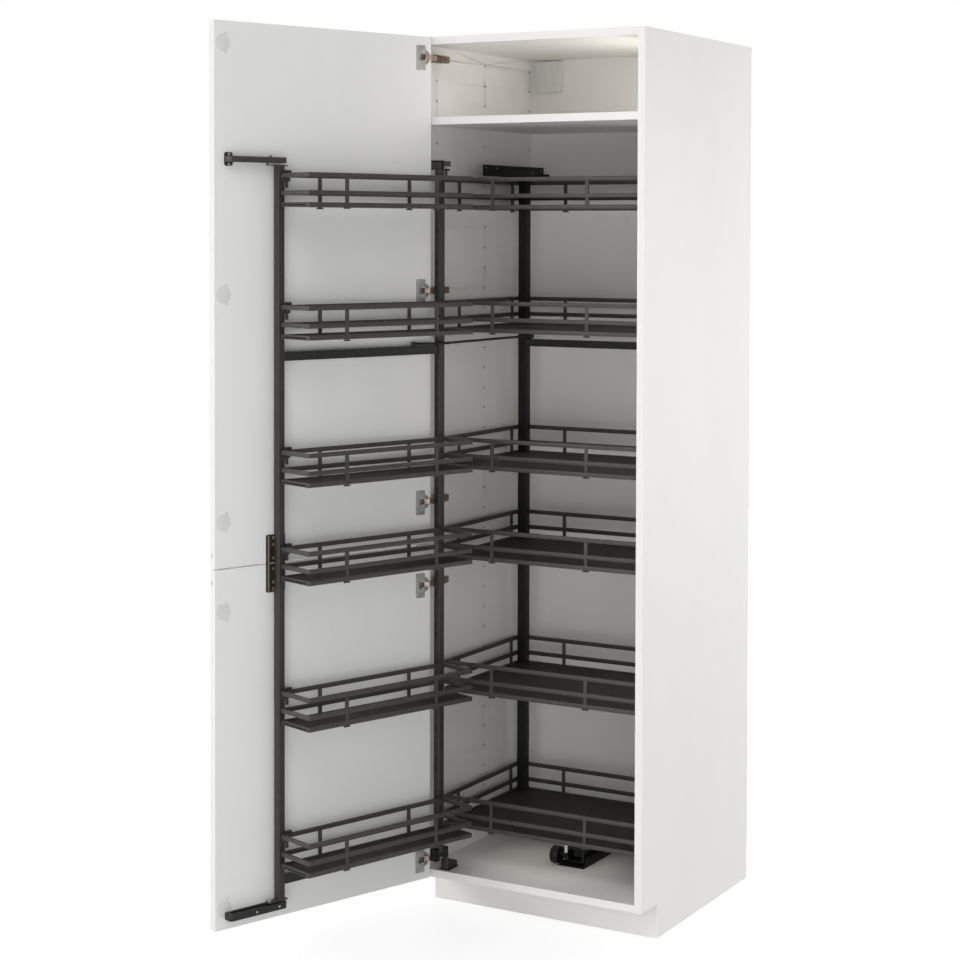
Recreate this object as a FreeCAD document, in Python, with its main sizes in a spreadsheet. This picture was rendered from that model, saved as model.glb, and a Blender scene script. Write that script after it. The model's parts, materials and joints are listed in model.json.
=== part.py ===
import FreeCAD, Part
import math
import os
import re
import Sketcher

# Driving lengths in millimetres
lengths = {
    # Carcass
    "cab_width": 600,
    "cab_depth": 600,
    "carcass_height": 2000,
    "board": 18,
    "back_board": 8,
    "back_void": 80,
    "shelf_drop": 207,
    "shelf_setback": 3,
    "plinth_height": 80,
    "plinth_board": 16,
    "plinth_setback": 84,
    "plinth_side_setback": 1,
    "leg_radius": 20,
    "leg_inset": 70,
    "leg_flange_radius": 32,
    "leg_flange_height": 8,
    "peg_radius": 2.5,
    "peg_depth": 12,
    "peg_pitch": 50,
    "peg_low": 132,
    "peg_front": 58.5,
    "peg_mid_gap": 235,
    "peg_back_gap": 10,
    "cover_width": 72,
    "cover_height": 80,
    "cover_depth": 14,
    "cover_side_gap": 20,
    "cover_top_gap": 4,
    "cover_round": 4,
    # Doors
    "door_reveal": 1.5,
    "door_split_gap": 3,
    "door_front_gap": 2,
    "door_thick": 20,
    "lower_door_height": 797,
    "join_width": 50,
    "join_height": 129,
    "join_thick": 3,
    "join_edge_gap": 132.5,
    "join_lip": 6,
    "join_lip_thick": 2,
    "join_screw_inset": 20,
    "join_screw_radius": 4,
    "join_screw_head": 1.6,
    "join_screw_step_1": 12,
    "join_screw_step_2": 42,
    "join_screw_step_3": 57,
    "edge_cap_radius": 3.5,
    "edge_cap_proud": 1.5,
    "edge_cap_step": 30,
    # Concealed hinges, each from the nearest end of its door but the second
    "hinge_inset_1": 48.5,
    "hinge_inset_2": 597.5,
    "hinge_inset_3": 100.5,
    "hinge_inset_4": 93.5,
    "hinge_inset_5": 47.5,
    "cup_radius": 17.5,
    "cup_wall": 3,
    "cup_depth": 12,
    "cup_floor": 1.5,
    "cup_edge": 22.5,
    "flange_height": 60,
    "flange_width": 26.5,
    "flange_lead": 5,
    "flange_thick": 1.5,
    "rim_radius": 18.5,
    "ear_offset": 9.5,
    "ear_step": 22.5,
    "ear_radius": 5,
    "link_pin_edge": 14,
    "link_pin_sink": 2,
    "link_pin_radius": 1.5,
    "link_width": 12,
    "link_pivot_x": 44.7,
    "link_pivot_y": 8,
    "arm_near": 30,
    "arm_far": 48.5,
    "arm_front": 13,
    "arm_back": 69,
    "arm_width": 19,
    "cheek_thick": 3,
    "cheek_front": 4,
    "cheek_near": 41,
    "hinge_plate_front": 20,
    "hinge_plate_back": 64,
    "hinge_plate_height": 16,
    # Slotted arms on the doors
    "door_arm_length": 150,
    "door_arm_edge": 23,
    "door_arm_depth": 26,
    "door_arm_height": 13,
    "bottom_arm_level": 105,
    "arm_slot_width": 14,
    "arm_slot_centre": 16,
    "arm_slot_depth": 10,
    "arm_slot_margin": 8,
    "arm_plate_height": 31,
    "arm_plate_width": 18,
    "arm_plate_thick": 4,
    "arm_screw_radius": 3,
    "arm_screw_proud": 4,
    # Swing rack
    "rack_axis_x": 69,
    "rack_axis_y": 18,
    "post_along": 16.6,
    "post_aside": 3.7,
    "post_span_gap": 140,
    "post_width": 16,
    "post_depth": 20,
    "tube_wall": 1.5,
    "outer_post_low": 128,
    "post_drop": 108,
    "foot_low": 121,
    "foot_high": 140,
    "head_height": 15,
    "foot_margin": 9,
    "post_cap_thick": 2,
    "post_cap_reach": 24,
    "rack_pin_radius": 5,
    "rack_pin_length": 15,
    "bar_height": 20,
    "bar_depth": 12,
    "mid_bar_drop": 120,
    "low_bar_level": 160,
    "block_width": 24,
    "block_depth": 48,
    "block_height": 20,
    "block_lead": 10,
    "bracket_height": 18,
    "bracket_depth": 20,
    "bracket_over": 13,
    "knob_radius": 5,
    "knob_length": 14,
    # Baskets of both racks
    "rail_height": 10,
    "rail_thick": 6,
    "mid_rail_drop": 39,
    "floor_rail_drop": 65,
    "corner_radius": 9,
    "upright_width": 6,
    "upright_thick": 5,
    "upright_inset": 107,
    "basket_foot": 4,
    "tray_thick": 5,
    "tray_lift": 2,
    "clip_width": 10,
    "clip_thick": 4,
    "clip_drop": 28,
    "door_basket_over": 10,
    "door_basket_depth": 107,
    "tier_drop": 21,
    "door_tier_6": 271,
    # Rear rack
    "rear_side_gap": 37,
    "rear_front": 63,
    "rear_back_gap": 7,
    "rear_travel": 80,
    "rear_upright_spread": 126,
    "rear_upright_shift": 5.5,
    "rear_side_inset": 58,
    "rear_post_width": 24,
    "rear_post_depth": 20,
    "rear_post_low": 140,
    "rear_post_drop": 9,
    "rear_bar_height": 18,
    "rear_tier_6": 258,
    "runner_width": 70,
    "runner_shift": 25,
    "runner_front": 185,
    "runner_back_gap": 5,
    "runner_height": 14,
    "runner_wall": 3,
    "carriage_width": 50,
    "carriage_front": 192,
    "roller_radius": 20,
    "roller_width": 20,
    "roller_gap": 2,
    "roller_back": 13,
    "guide_reach": 43,
    "guide_thick": 3,
    "guide_front": 207,
    "guide_back_gap": 10,
    "guide_height": 28,
    # Link rod between the racks
    "rod_radius": 3,
    "rod_rise": 25,
    "rod_along": 95.9,
    "rod_knee_back": 65,
    "rod_knee_bow": 36,
    "eye_radius": 7,
    "eye_height": 10,
    "shoe_radius": 5,
    # Fits
    "running_gap": 0.3,
    "pivot_gap": 1,
    "overrun": 1,
}
angles = {"door_open": 110, "link_swing": 55, "rack_open": 108.8}
counts = {"peg_count": 39}
# Heights of the middle baskets, as shares of the way from the lowest to the highest
door_shares = {"door_tier_2": 0.8018, "door_tier_3": 0.5832, "door_tier_4": 0.4372, "door_tier_5": 0.2186}
rear_shares = {"rear_tier_2": 0.8028, "rear_tier_3": 0.5828, "rear_tier_4": 0.4367, "rear_tier_5": 0.2194}

# Sizes that follow from the driving ones
worked_out = {
    "door_width": "cab_width - 2 * door_reveal",
    "door_low": "plinth_height + door_reveal",
    "door_split": "door_low + lower_door_height",
    "door_high": "plinth_height + carcass_height - door_reveal",
    "shelf_level": "plinth_height + carcass_height - shelf_drop",
    "inner_depth": "cab_depth - back_void",
    "peg_mid": "inner_depth - peg_mid_gap",
    "peg_back": "inner_depth - peg_back_gap",
    "hinge_height_1": "door_high - hinge_inset_1",
    "hinge_height_2": "door_high - hinge_inset_2",
    "hinge_height_3": "door_split + door_split_gap + hinge_inset_3",
    "hinge_height_4": "door_split - hinge_inset_4",
    "hinge_height_5": "door_low + hinge_inset_5",
    "join_outer_edge": "door_width - join_edge_gap",
    "door_arm_end": "door_width - door_arm_edge",
    "door_arm_start": "door_arm_end - door_arm_length",
    "post_span": "cab_width - post_span_gap",
    "post_high": "shelf_level - post_drop",
    "head_high": "post_high + post_cap_thick",
    "head_low": "head_high - head_height",
    "top_arm_level": "head_high + pivot_gap",
    "door_tier_1": "post_high - tier_drop",
    "rear_tier_1": "post_high - tier_drop",
    "rear_depth": "inner_depth - rear_travel - rear_front - rear_back_gap",
    "rear_post_high": "post_high - rear_post_drop",
    "runner_length": "inner_depth - runner_front - runner_back_gap",
    "guide_length": "inner_depth - guide_front - guide_back_gap",
    "guide_level": "rear_post_high + pivot_gap",
}
for rack_name, shares in (("door", door_shares), ("rear", rear_shares)):
    for name, share in shares.items():
        low_tier = f"{rack_name}_tier_6"
        worked_out[name] = f"{low_tier} + {share} * ({rack_name}_tier_1 - {low_tier})"
worked_out["mid_bar_level"] = "door_tier_2 - mid_bar_drop"
worked_out["rear_mid_bar_level"] = "rear_tier_2 - mid_bar_drop"
worked_out["rod_level"] = "mid_bar_level + rod_rise"

doc = FreeCAD.newDocument("cabinet")
sheet = doc.addObject("Spreadsheet::Sheet", "sheet")
cells = {**lengths, **angles, **counts}
cells.update((name, "=" + text) for name, text in worked_out.items())
for row, name in enumerate(cells, start=1):
    sheet.set(f"A{row}", name)
    sheet.setAlias(f"B{row}", name)
for row, value in enumerate(cells.values(), start=1):
    sheet.set(f"B{row}", str(value))
doc.recompute()

up = FreeCAD.Vector(0, 0, 1)
along = FreeCAD.Vector(1, 0, 0)
inward = FreeCAD.Vector(0, 1, 0)
nodes = {}


def size(name):
    return sheet.get(name)


def bind(obj, prop, text):
    # A size written in cell names, such as "cab_width - 2 * board"
    obj.setExpression(prop, re.sub(r"[a-z]\w*", lambda word: "sheet." + word.group(0), text))


def place(obj, at):
    for axis, text in zip("xyz", at):
        bind(obj, "Placement.Base." + axis, text)
    return obj


def box(name, dims, at):
    obj = doc.addObject("Part::Box", name)
    for prop, text in zip(("Length", "Width", "Height"), dims):
        bind(obj, prop, text)
    return place(obj, at)


def cylinder(name, radius, length, at, axis=up):
    obj = doc.addObject("Part::Cylinder", name)
    bind(obj, "Radius", radius)
    bind(obj, "Height", length)
    obj.Placement.Rotation = FreeCAD.Rotation(up, axis)
    return place(obj, at)


def fuse(name, parts):
    obj = doc.addObject("Part::MultiFuse", name)
    obj.Shapes = parts
    obj.Refine = True
    return obj


def group(name, parts):
    obj = doc.addObject("Part::Compound", name)
    obj.Links = parts
    return obj


def cut(name, base, tools):
    obj = doc.addObject("Part::Cut", name)
    obj.Base = base
    obj.Tool = tools[0] if len(tools) == 1 else group(name + "_tools", tools)
    return obj


def rounded(name, base, radius):
    # Rounds the upright edges of a box
    doc.recompute()
    obj = doc.addObject("Part::Fillet", name)
    obj.Base = base
    edges = []
    for number, edge in enumerate(base.Shape.Edges, start=1):
        tangent = edge.tangentAt(edge.FirstParameter)
        if abs(tangent.z) > abs(tangent.x) + abs(tangent.y):
            edges.append((number, radius, radius))
    obj.Edges = edges
    return obj


def tube(name, dims, at, run, radius=None):
    # A box hollow along the axis numbered run, with open ends, and round upright edges where radius is given
    inner_dims = []
    inner_at = []
    for number, (length, start) in enumerate(zip(dims, at)):
        inset = "overrun" if number == run else "tube_wall"
        sign = "+" if number == run else "-"
        inner_dims.append(f"{length} {sign} 2 * {inset}")
        inner_at.append(f"{start} - {inset}" if number == run else f"{start} + {inset}")
    outside = box(name + "_outside", dims, at)
    if radius:
        outside = rounded(name + "_round", outside, radius)
    return cut(name, outside, [box(name + "_inside", inner_dims, inner_at)])


def node(label, obj, pose=None):
    obj.Label = label
    if pose is not None:
        obj.Placement = pose
    nodes[label] = obj
    return obj


def turned(x, y, degrees):
    return FreeCAD.Placement(FreeCAD.Vector(x, y, 0), FreeCAD.Rotation(up, degrees))


# The origin is the middle of the front plinth's base
# Frames: the carcass corner, the open door and the open rack
corner_x = -size("cab_width") / 2
corner_y = -size("plinth_setback") - size("plinth_board") / 2
corner = turned(corner_x, corner_y, 0)

link_pivot = FreeCAD.Vector(corner_x + size("link_pivot_x"), corner_y + size("link_pivot_y"), 0)
closed_door = FreeCAD.Vector(corner_x + size("door_reveal"), corner_y - size("door_front_gap"), 0)
pin_in_door = FreeCAD.Vector(size("link_pin_edge"), -size("link_pin_sink"), 0)
closed_link = closed_door + pin_in_door - link_pivot
open_link = FreeCAD.Rotation(up, size("link_swing")).multVec(closed_link)
door_turn = FreeCAD.Rotation(up, -size("door_open"))
door_corner = link_pivot + open_link - door_turn.multVec(pin_in_door)
door = turned(door_corner.x, door_corner.y, -size("door_open"))
link_angle = math.degrees(math.atan2(open_link.y, open_link.x))
link = turned(link_pivot.x, link_pivot.y, link_angle)

rack_x = corner_x + size("rack_axis_x")
rack_y = corner_y + size("rack_axis_y")
rack = turned(rack_x, rack_y, -size("rack_open"))


def origin_plane(body, role):
    return next(plane for plane in body.Origin.OriginFeatures if plane.Role == role)


def sketch_on(body, role, name):
    sketch = body.newObject("Sketcher::SketchObject", name)
    sketch.AttachmentSupport = [(origin_plane(body, role), "")]
    sketch.MapMode = "FlatFace"
    return sketch


def rectangle(sketch, wide, high):
    corners = [(0, 0), (1, 0), (1, 1), (0, 1)]
    for start, end in zip(corners, corners[1:] + corners[:1]):
        sketch.addGeometry(Part.LineSegment(FreeCAD.Vector(*start, 0), FreeCAD.Vector(*end, 0)))
    for line in range(4):
        sketch.addConstraint(Sketcher.Constraint("Coincident", line, 2, (line + 1) % 4, 1))
        sketch.addConstraint(Sketcher.Constraint("Vertical" if line % 2 else "Horizontal", line))
    sketch.addConstraint(Sketcher.Constraint("Coincident", 0, 1, -1, 1))
    for line, text in ((0, wide), (1, high)):
        kind = "DistanceY" if line else "DistanceX"
        number = sketch.addConstraint(Sketcher.Constraint(kind, line, 1, line, 2, 1))
        bind(sketch, f"Constraints[{number}]", text)


def circles(sketch, radius, centres):
    for across, high in centres:
        number = sketch.addGeometry(Part.Circle(FreeCAD.Vector(1, 1, 0), up, 1))
        rules = (("Radius", (number, 1), radius), ("DistanceX", (-1, 1, number, 3, 1), across),
                 ("DistanceY", (-1, 1, number, 3, 1), high))
        for kind, target, text in rules:
            rule = sketch.addConstraint(Sketcher.Constraint(kind, *target))
            bind(sketch, f"Constraints[{rule}]", text)


def drilled_panel(label, role, wide, high, thick, radius, centres, depth, drill_back, pose):
    # A board on an origin plane, drilled from one of its faces
    body = doc.addObject("PartDesign::Body", label)
    outline = sketch_on(body, role, label + "_outline")
    rectangle(outline, wide, high)
    pad = body.newObject("PartDesign::Pad", label + "_board")
    pad.Profile = outline
    bind(pad, "Length", thick)
    doc.recompute()
    drill = sketch_on(body, role, label + "_drilling")
    circles(drill, radius, centres)
    if drill_back:
        bind(drill, "AttachmentOffset.Base.z", thick)
    pocket = body.newObject("PartDesign::Pocket", label + "_holes")
    pocket.Profile = drill
    pocket.Reversed = not drill_back
    bind(pocket, "Length", depth)
    doc.recompute()
    if pocket.Shape.Volume >= pad.Shape.Volume:
        raise RuntimeError(label + " is not drilled")
    node(label, body, pose)
    return body, drill, pocket


# Side boards with three columns of peg holes on the inner face
peg_columns = [(peg, "peg_low - plinth_height") for peg in ("peg_front", "peg_mid", "peg_back")]
for label, at_x, drill_back in (("left_side", "0 - cab_width / 2", True),
                                ("right_side", "cab_width / 2 - board", False)):
    body, drill, pocket = drilled_panel(label, "YZ_Plane", "cab_depth", "carcass_height", "board",
                                        "peg_radius", peg_columns, "peg_depth", drill_back, corner)
    bind(body, "Placement.Base.x", at_x)
    bind(body, "Placement.Base.z", "plinth_height")
    column = body.newObject("PartDesign::LinearPattern", label + "_columns")
    column.Originals = [pocket]
    column.Direction = (drill, ["V_Axis"])
    bind(column, "Length", "(peg_count - 1) * peg_pitch")
    bind(column, "Occurrences", "peg_count")
    body.Tip = column

# Boards between the sides
inner_wide = "cab_width - 2 * board"
inner_left = "board - cab_width / 2"
front = "0 - plinth_setback - plinth_board / 2"
back_face = front + " + inner_depth"
carcass_top = "plinth_height + carcass_height"
node("bottom_board", box("bottom_board", (inner_wide, "inner_depth", "board"),
                         (inner_left, front, "plinth_height")))
node("top_board", box("top_board", (inner_wide, "inner_depth", "board"),
                      (inner_left, front, carcass_top + " - board")))
node("fixed_shelf", box("fixed_shelf", (inner_wide, "inner_depth - shelf_setback", "board"),
                        (inner_left, front + " + shelf_setback", "shelf_level")))
node("back_board", box("back_board", (inner_wide, "back_board", "carcass_height"),
                       (inner_left, back_face, "plinth_height")))

# Covers over the wall fixings, in the upper back corners
cover_boxes = []
for side, at_x in (("left", "cover_side_gap"), ("right", inner_wide + " - cover_side_gap - cover_width")):
    block = box("cover_" + side, ("cover_width", "cover_height", "cover_depth"), ("0", "0", "0"))
    cap = rounded("cover_cap_" + side, block, size("cover_round"))
    cap.Placement.Rotation = FreeCAD.Rotation(along, 90)
    cover_boxes.append(place(cap, (inner_left + " + " + at_x, back_face,
                                   carcass_top + " - board - cover_top_gap - cover_height")))
node("wall_fixing_covers", group("wall_fixing_covers", cover_boxes))

# Plinth and adjustable legs
side_inset = "plinth_side_setback - cab_width / 2"
plinth_wide = "cab_width - 2 * plinth_side_setback"
node("plinth_front", box("plinth_front", (plinth_wide, "plinth_board", "plinth_height"),
                         (side_inset, front + " + plinth_setback", "0")))
plinth_sides = []
for side, at_x in (("left", side_inset), ("right", "cab_width / 2 - plinth_side_setback - plinth_board")):
    plinth_sides.append(box("plinth_" + side, ("plinth_board", "cab_depth - plinth_setback - plinth_board",
                                               "plinth_height"),
                            (at_x, front + " + plinth_setback + plinth_board", "0")))
node("plinth_sides", group("plinth_sides", plinth_sides))
legs = []
for across in ("leg_inset - cab_width / 2", "cab_width / 2 - leg_inset"):
    for deep in (front + " + plinth_setback + leg_inset", back_face + " - leg_inset"):
        foot = cylinder("leg_stem", "leg_radius", "plinth_height - leg_flange_height", (across, deep, "0"))
        cap = cylinder("leg_flange", "leg_flange_radius", "leg_flange_height",
                  (across, deep, "plinth_height - leg_flange_height"))
        legs.append(fuse("leg", [foot, cap]))
node("legs", group("legs", legs))

# Doors, drilled on the inner face for the hinge cups and the blind holes
heights = [f"hinge_height_{number}" for number in range(1, 6)]
upper_low = "door_split + door_split_gap"
doors = (("upper_door", upper_low, f"door_high - ({upper_low})", heights[:3]),
         ("lower_door", "door_low", "lower_door_height", heights[3:]))
for label, level, high, hinges in doors:
    centres = []
    for height in hinges:
        for across in ("cup_edge", "door_width - cup_edge"):
            centres.append((across, f"{height} - ({level})"))
    body, drill, pocket = drilled_panel(label, "XZ_Plane", "door_width", high, "door_thick", "cup_radius",
                                        centres, "cup_depth", False, door)
    bind(body, "Placement.Base.z", level)

split_middle = "door_split + door_split_gap / 2"
join_left = "join_outer_edge - join_width"
join_low = split_middle + " - join_height / 2"
plate = box("join_face", ("join_width", "join_thick", "join_height"), (join_left, "0", join_low))
lip = box("join_edge", ("join_lip_thick", "join_lip", "join_height"),
          ("join_outer_edge - join_lip_thick", "0", join_low))
node("door_joining_plate", fuse("door_joining_plate", [plate, lip]), door)
screws = []
for step in (1, 2, 3):
    for sign in ("+", "-"):
        screws.append(cylinder("join_screw", "join_screw_radius", "join_screw_head",
                          ("join_outer_edge - join_screw_inset", "join_thick",
                           f"{split_middle} {sign} join_screw_step_{step}"), inward))
node("door_joining_screws", group("door_joining_screws", screws), door)
caps = []
for sign in ("+", "-"):
    caps.append(cylinder("edge_cap", "edge_cap_radius", "edge_cap_proud",
                    ("door_width", "0 - door_thick / 2", f"{split_middle} {sign} edge_cap_step"), along))
node("door_edge_caps", group("door_edge_caps", caps), door)

# Concealed hinges: cups and blind covers in the doors, arms on the side, links between
cups = []
covers = []
for height in heights:
    shell = cylinder("cup_shell", "cup_radius", "cup_depth", ("cup_edge", "0 - cup_depth", height), inward)
    rim = cylinder("cup_rim", "rim_radius", "flange_thick", ("cup_edge", "0", height), inward)
    flange = box("cup_flange", ("flange_width", "flange_thick", "flange_height"),
                 ("cup_edge - flange_lead", "0", height + " - flange_height / 2"))
    hollow = cylinder("cup_hollow", "cup_radius - cup_wall", "cup_depth + flange_thick + overrun",
                 ("cup_edge", "cup_floor - cup_depth", height), inward)
    pin = cylinder("cup_pin", "link_pin_radius", "2 * (cup_radius - cup_wall)",
              ("link_pin_edge", "0 - link_pin_sink", height + " - cup_radius + cup_wall"))
    well = cylinder("cup_well", "cup_radius - cup_wall / 2", "cup_depth",
               ("cup_edge", "0 - cup_depth", height), inward)
    short_pin = doc.addObject("Part::MultiCommon", "cup_short_pin")
    short_pin.Shapes = [pin, well]
    cup = cut("cup_body", fuse("cup_block", [shell, rim, flange]), [hollow])
    cups.append(fuse("hinge_cup", [cup, short_pin]))
    plug_x = "door_width - cup_edge"
    disc = cylinder("cover_disc", "rim_radius", "flange_thick", (plug_x, "0", height), inward)
    plug = cylinder("cover_plug", "cup_radius", "cup_depth / 4",
                    (plug_x, "0 - cup_depth / 4", height), inward)
    wing = box("cover_wing", ("2 * ear_radius", "flange_thick", "2 * ear_step"),
               (plug_x + " - ear_offset - ear_radius", "0", height + " - ear_step"))
    ears = []
    for sign in ("+", "-"):
        ears.append(cylinder("cover_ear", "ear_radius", "flange_thick",
                        (plug_x + " - ear_offset", "0", f"{height} {sign} ear_step"), inward))
    covers.append(fuse("hinge_hole_cover", [disc, plug, wing] + ears))
node("hinge_cups", group("hinge_cups", cups), door)
node("hinge_hole_covers", group("hinge_hole_covers", covers), door)

arms = []
plates = []
for height in heights:
    low = height + " - arm_width / 2"
    beam = box("arm_beam", ("arm_far - arm_near", "arm_back - arm_front", "arm_width"),
               ("arm_near", "arm_front", low))
    pieces = [beam]
    for cheek_low in (low, height + " + arm_width / 2 - cheek_thick"):
        pieces.append(box("arm_cheek", ("arm_far - cheek_near", "arm_front - cheek_front", "cheek_thick"),
                          ("cheek_near", "cheek_front", cheek_low)))
    pieces.append(cylinder("arm_pin", "link_pin_radius", "arm_width", ("link_pivot_x", "link_pivot_y", low)))
    arms.append(fuse("hinge_arm", pieces))
    plates.append(box("hinge_plate", ("arm_near - board", "hinge_plate_back - hinge_plate_front",
                                      "hinge_plate_height"),
                      ("board", "hinge_plate_front", height + " - hinge_plate_height / 2")))
node("hinge_arms", group("hinge_arms", arms), corner)
node("hinge_plates", group("hinge_plates", plates), corner)

# Bent link from the arm's pin at zero to the cup's pin, as shares of the distance between the pins
link_line_shares = [(0, 0), (0.24, 0.048), (0.43, 0.127), (0.587, 0.206), (0.81, 0.222), (0.935, 0.127),
                    (1, 0)]
link_thick_share = 0.075
link_eye_share = 0.1
reach = open_link.Length
middle = [FreeCAD.Vector(x * reach, y * reach, 0) for x, y in link_line_shares]
half = link_thick_share * reach / 2
sides = {1: [], -1: []}
for number, point in enumerate(middle):
    before = middle[max(number - 1, 0)]
    after = middle[min(number + 1, len(middle) - 1)]
    normal = up.cross(after - before).normalize()
    for sign, line in sides.items():
        line.append(point + normal * (sign * half))
outline = sides[1] + sides[-1][::-1]
strip = Part.Face(Part.makePolygon(outline + outline[:1])).extrude(up * size("link_width"))
eyes = [Part.makeCylinder(link_eye_share * reach, size("link_width"), at) for at in (middle[0], middle[-1])]
bores = [Part.makeCylinder(size("link_pin_radius") + size("running_gap"), size("link_width"), at)
         for at in (middle[0], middle[-1])]
bent = strip.fuse(eyes).cut(Part.makeCompound(bores)).removeSplitter()
levels = [size(height) - size("link_width") / 2 for height in heights]
links = doc.addObject("Part::Feature", "hinge_links")
links.Shape = Part.makeCompound([bent.translated(up * level) for level in levels])
node("hinge_links", links, link)


# Slotted arms on the doors, one open downward and one open upward
def door_arm(label, level, slot_level, extras, reliefs):
    bar = box(label + "_bar", ("door_arm_end - door_arm_start", "door_arm_depth", "door_arm_height"),
              ("door_arm_start", "0", level))
    slot = box(label + "_slot", ("door_arm_end - door_arm_start - 2 * arm_slot_margin", "arm_slot_width",
                                 "arm_slot_depth + overrun"),
               ("door_arm_start + arm_slot_margin", "arm_slot_centre - arm_slot_width / 2", slot_level))
    channel = cut(label + "_channel", bar, [slot] + reliefs)
    node(label, group(label, [fuse(label + "_body", [channel] + extras) if extras else channel]), door)


arm_plate = box("top_arm_plate", ("arm_plate_width", "arm_plate_thick", "arm_plate_height"),
                ("door_arm_end - arm_slot_margin - arm_plate_width", "0",
                 "top_arm_level + door_arm_height / 2 - arm_plate_height / 2"))
arm_stud = cylinder("top_arm_stud", "arm_screw_radius", "arm_screw_proud",
                    ("door_arm_start + post_cap_reach + post_width", "arm_slot_centre",
                     "top_arm_level + door_arm_height"))
door_arm("top_door_arm", "top_arm_level", "top_arm_level - overrun", [arm_plate, arm_stud], [])
relief_dims = ("cup_edge + rim_radius + running_gap", "flange_thick + running_gap + overrun",
               "door_arm_height + 2 * overrun")
cover_relief = box("cover_relief", relief_dims,
                   ("door_width - cup_edge - rim_radius - running_gap", "0 - overrun",
                    "bottom_arm_level - overrun"))
door_arm("bottom_door_arm", "bottom_arm_level", "bottom_arm_level + door_arm_height - arm_slot_depth", [],
         [cover_relief])

# Swing rack: two posts, pivot blocks, cross bars
post_left = "post_along - post_width / 2"
post_back = "0 - post_aside - post_depth / 2"
outer_left = "post_along + post_span - post_width / 2"
for label, left, low, high in (("pivot_post", post_left, "foot_high", "head_low"),
                               ("outer_post", outer_left, "outer_post_low", "post_high")):
    post = tube(label + "_tube", ("post_width", "post_depth", f"{high} - {low}"), (left, post_back, low), 2)
    node(label, group(label, [post]), rack)

ends = []
for name, low, high in (("foot", "foot_low", "foot_high"), ("head", "head_low", "head_high")):
    block = box("rack_" + name, ("post_along + post_width / 2 + foot_margin", "post_depth + foot_margin",
                                 f"{high} - {low}"), ("0 - foot_margin", post_back, low))
    bore = cylinder(f"rack_{name}_bore", "rack_pin_radius + running_gap", f"{high} - {low} + 2 * overrun",
               ("0", "0", low + " - overrun"))
    ends.append(cut(f"rack_{name}_block", block, [bore]))
node("rack_pivot_ends", group("rack_pivot_ends", ends), rack)
post_caps = []
for low in ("post_high", "outer_post_low - post_cap_thick"):
    post_caps.append(box("post_cap", ("post_width + post_cap_reach", "post_depth", "post_cap_thick"),
                         (outer_left, post_back, low)))
node("outer_post_caps", group("outer_post_caps", post_caps), rack)
bars = []
for level in ("mid_bar_level", "low_bar_level"):
    bars.append(tube("rack_bar", ("post_span - post_width", "bar_depth", "bar_height"),
                     ("post_along + post_width / 2", "0 - post_aside - bar_depth / 2", level), 0))
node("rack_cross_bars", group("rack_cross_bars", bars), rack)

# Fixed pivots of the swing rack
block_left = "rack_axis_x - block_width / 2"
floor_top = "plinth_height + board"
block = box("rack_block_base", ("block_width", "block_depth", "block_height"),
            (block_left, "rack_axis_y - block_lead", floor_top))
pin = cylinder("rack_block_pin", "rack_pin_radius",
               "foot_low - plinth_height - board - block_height + rack_pin_length",
               ("rack_axis_x", "rack_axis_y", floor_top + " + block_height"))
node("rack_floor_pivot", fuse("rack_floor_pivot", [block, pin]), corner)
bracket_low = "head_high + pivot_gap"
arm = box("rack_bracket_arm", ("rack_axis_x + bracket_over - board", "bracket_depth", "bracket_height"),
          ("board", "rack_axis_y - bracket_depth / 2", bracket_low))
pin = cylinder("rack_bracket_pin", "rack_pin_radius", "pivot_gap + rack_pin_length",
               ("rack_axis_x", "rack_axis_y", "head_high - rack_pin_length"))
knob = cylinder("rack_bracket_knob", "knob_radius", "knob_length",
           ("rack_axis_x + bracket_over", "rack_axis_y", bracket_low + " + bracket_height / 2"), along)
node("rack_top_pivot", fuse("rack_top_pivot", [arm, pin, knob]), corner)


# Baskets: three rounded rails, uprights and a tray
def rail_ring(name, length, depth, level):
    outer = box(name + "_outer", (length, depth, "rail_height"), ("0", "0", "0"))
    inner = box(name + "_inner", (length + " - 2 * rail_thick", depth + " - 2 * rail_thick",
                                  "rail_height + 2 * overrun"), ("rail_thick", "rail_thick", "0 - overrun"))
    ring = cut(name, rounded(name + "_rim", outer, size("corner_radius")),
               [rounded(name + "_gap", inner, size("corner_radius") - size("rail_thick"))])
    return place(ring, ("0", "0", level))


def basket(name, length, depth, front_uprights, side_uprights):
    # The level zero of a basket is the middle of its top rail
    levels = ("0 - rail_height / 2", "0 - mid_rail_drop - rail_height / 2",
              "0 - floor_rail_drop - rail_height / 2")
    pieces = [rail_ring(name + "_ring", length, depth, level) for level in levels]
    upright_low = "0 - floor_rail_drop - rail_height / 2 - basket_foot"
    upright_high = "floor_rail_drop + rail_height / 2 + basket_foot"
    near = "(rail_thick - upright_thick) / 2"
    for across in front_uprights:
        for deep in (near, f"{depth} - upright_thick - {near}"):
            pieces.append(box(name + "_upright", ("upright_width", "upright_thick", upright_high),
                              (f"{across} - upright_width / 2", deep, upright_low)))
    for deep in side_uprights:
        for across in (near, f"{length} - upright_thick - {near}"):
            pieces.append(box(name + "_upright", ("upright_thick", "upright_width", upright_high),
                              (across, f"{deep} - upright_width / 2", upright_low)))
    return fuse(name, pieces)


def tray(name, length, depth, notches):
    plain = box(name + "_plain", (length + " - 2 * rail_thick", depth + " - 2 * rail_thick", "tray_thick"),
                ("rail_thick", "rail_thick", "0 - floor_rail_drop - rail_height / 2 + tray_lift"))
    round_tray = rounded(name + "_round", plain, size("corner_radius") - size("rail_thick"))
    return cut(name, round_tray, notches) if notches else round_tray


def tiers(label, template, pose, levels, at):
    for number, level in enumerate(levels, start=1):
        copy = group(f"{label}_{number}_copy", [template])
        place(copy, (at[0], at[1], level))
        node(f"{label}_{number}", group(f"{label}_{number}", [copy]), pose)


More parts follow.
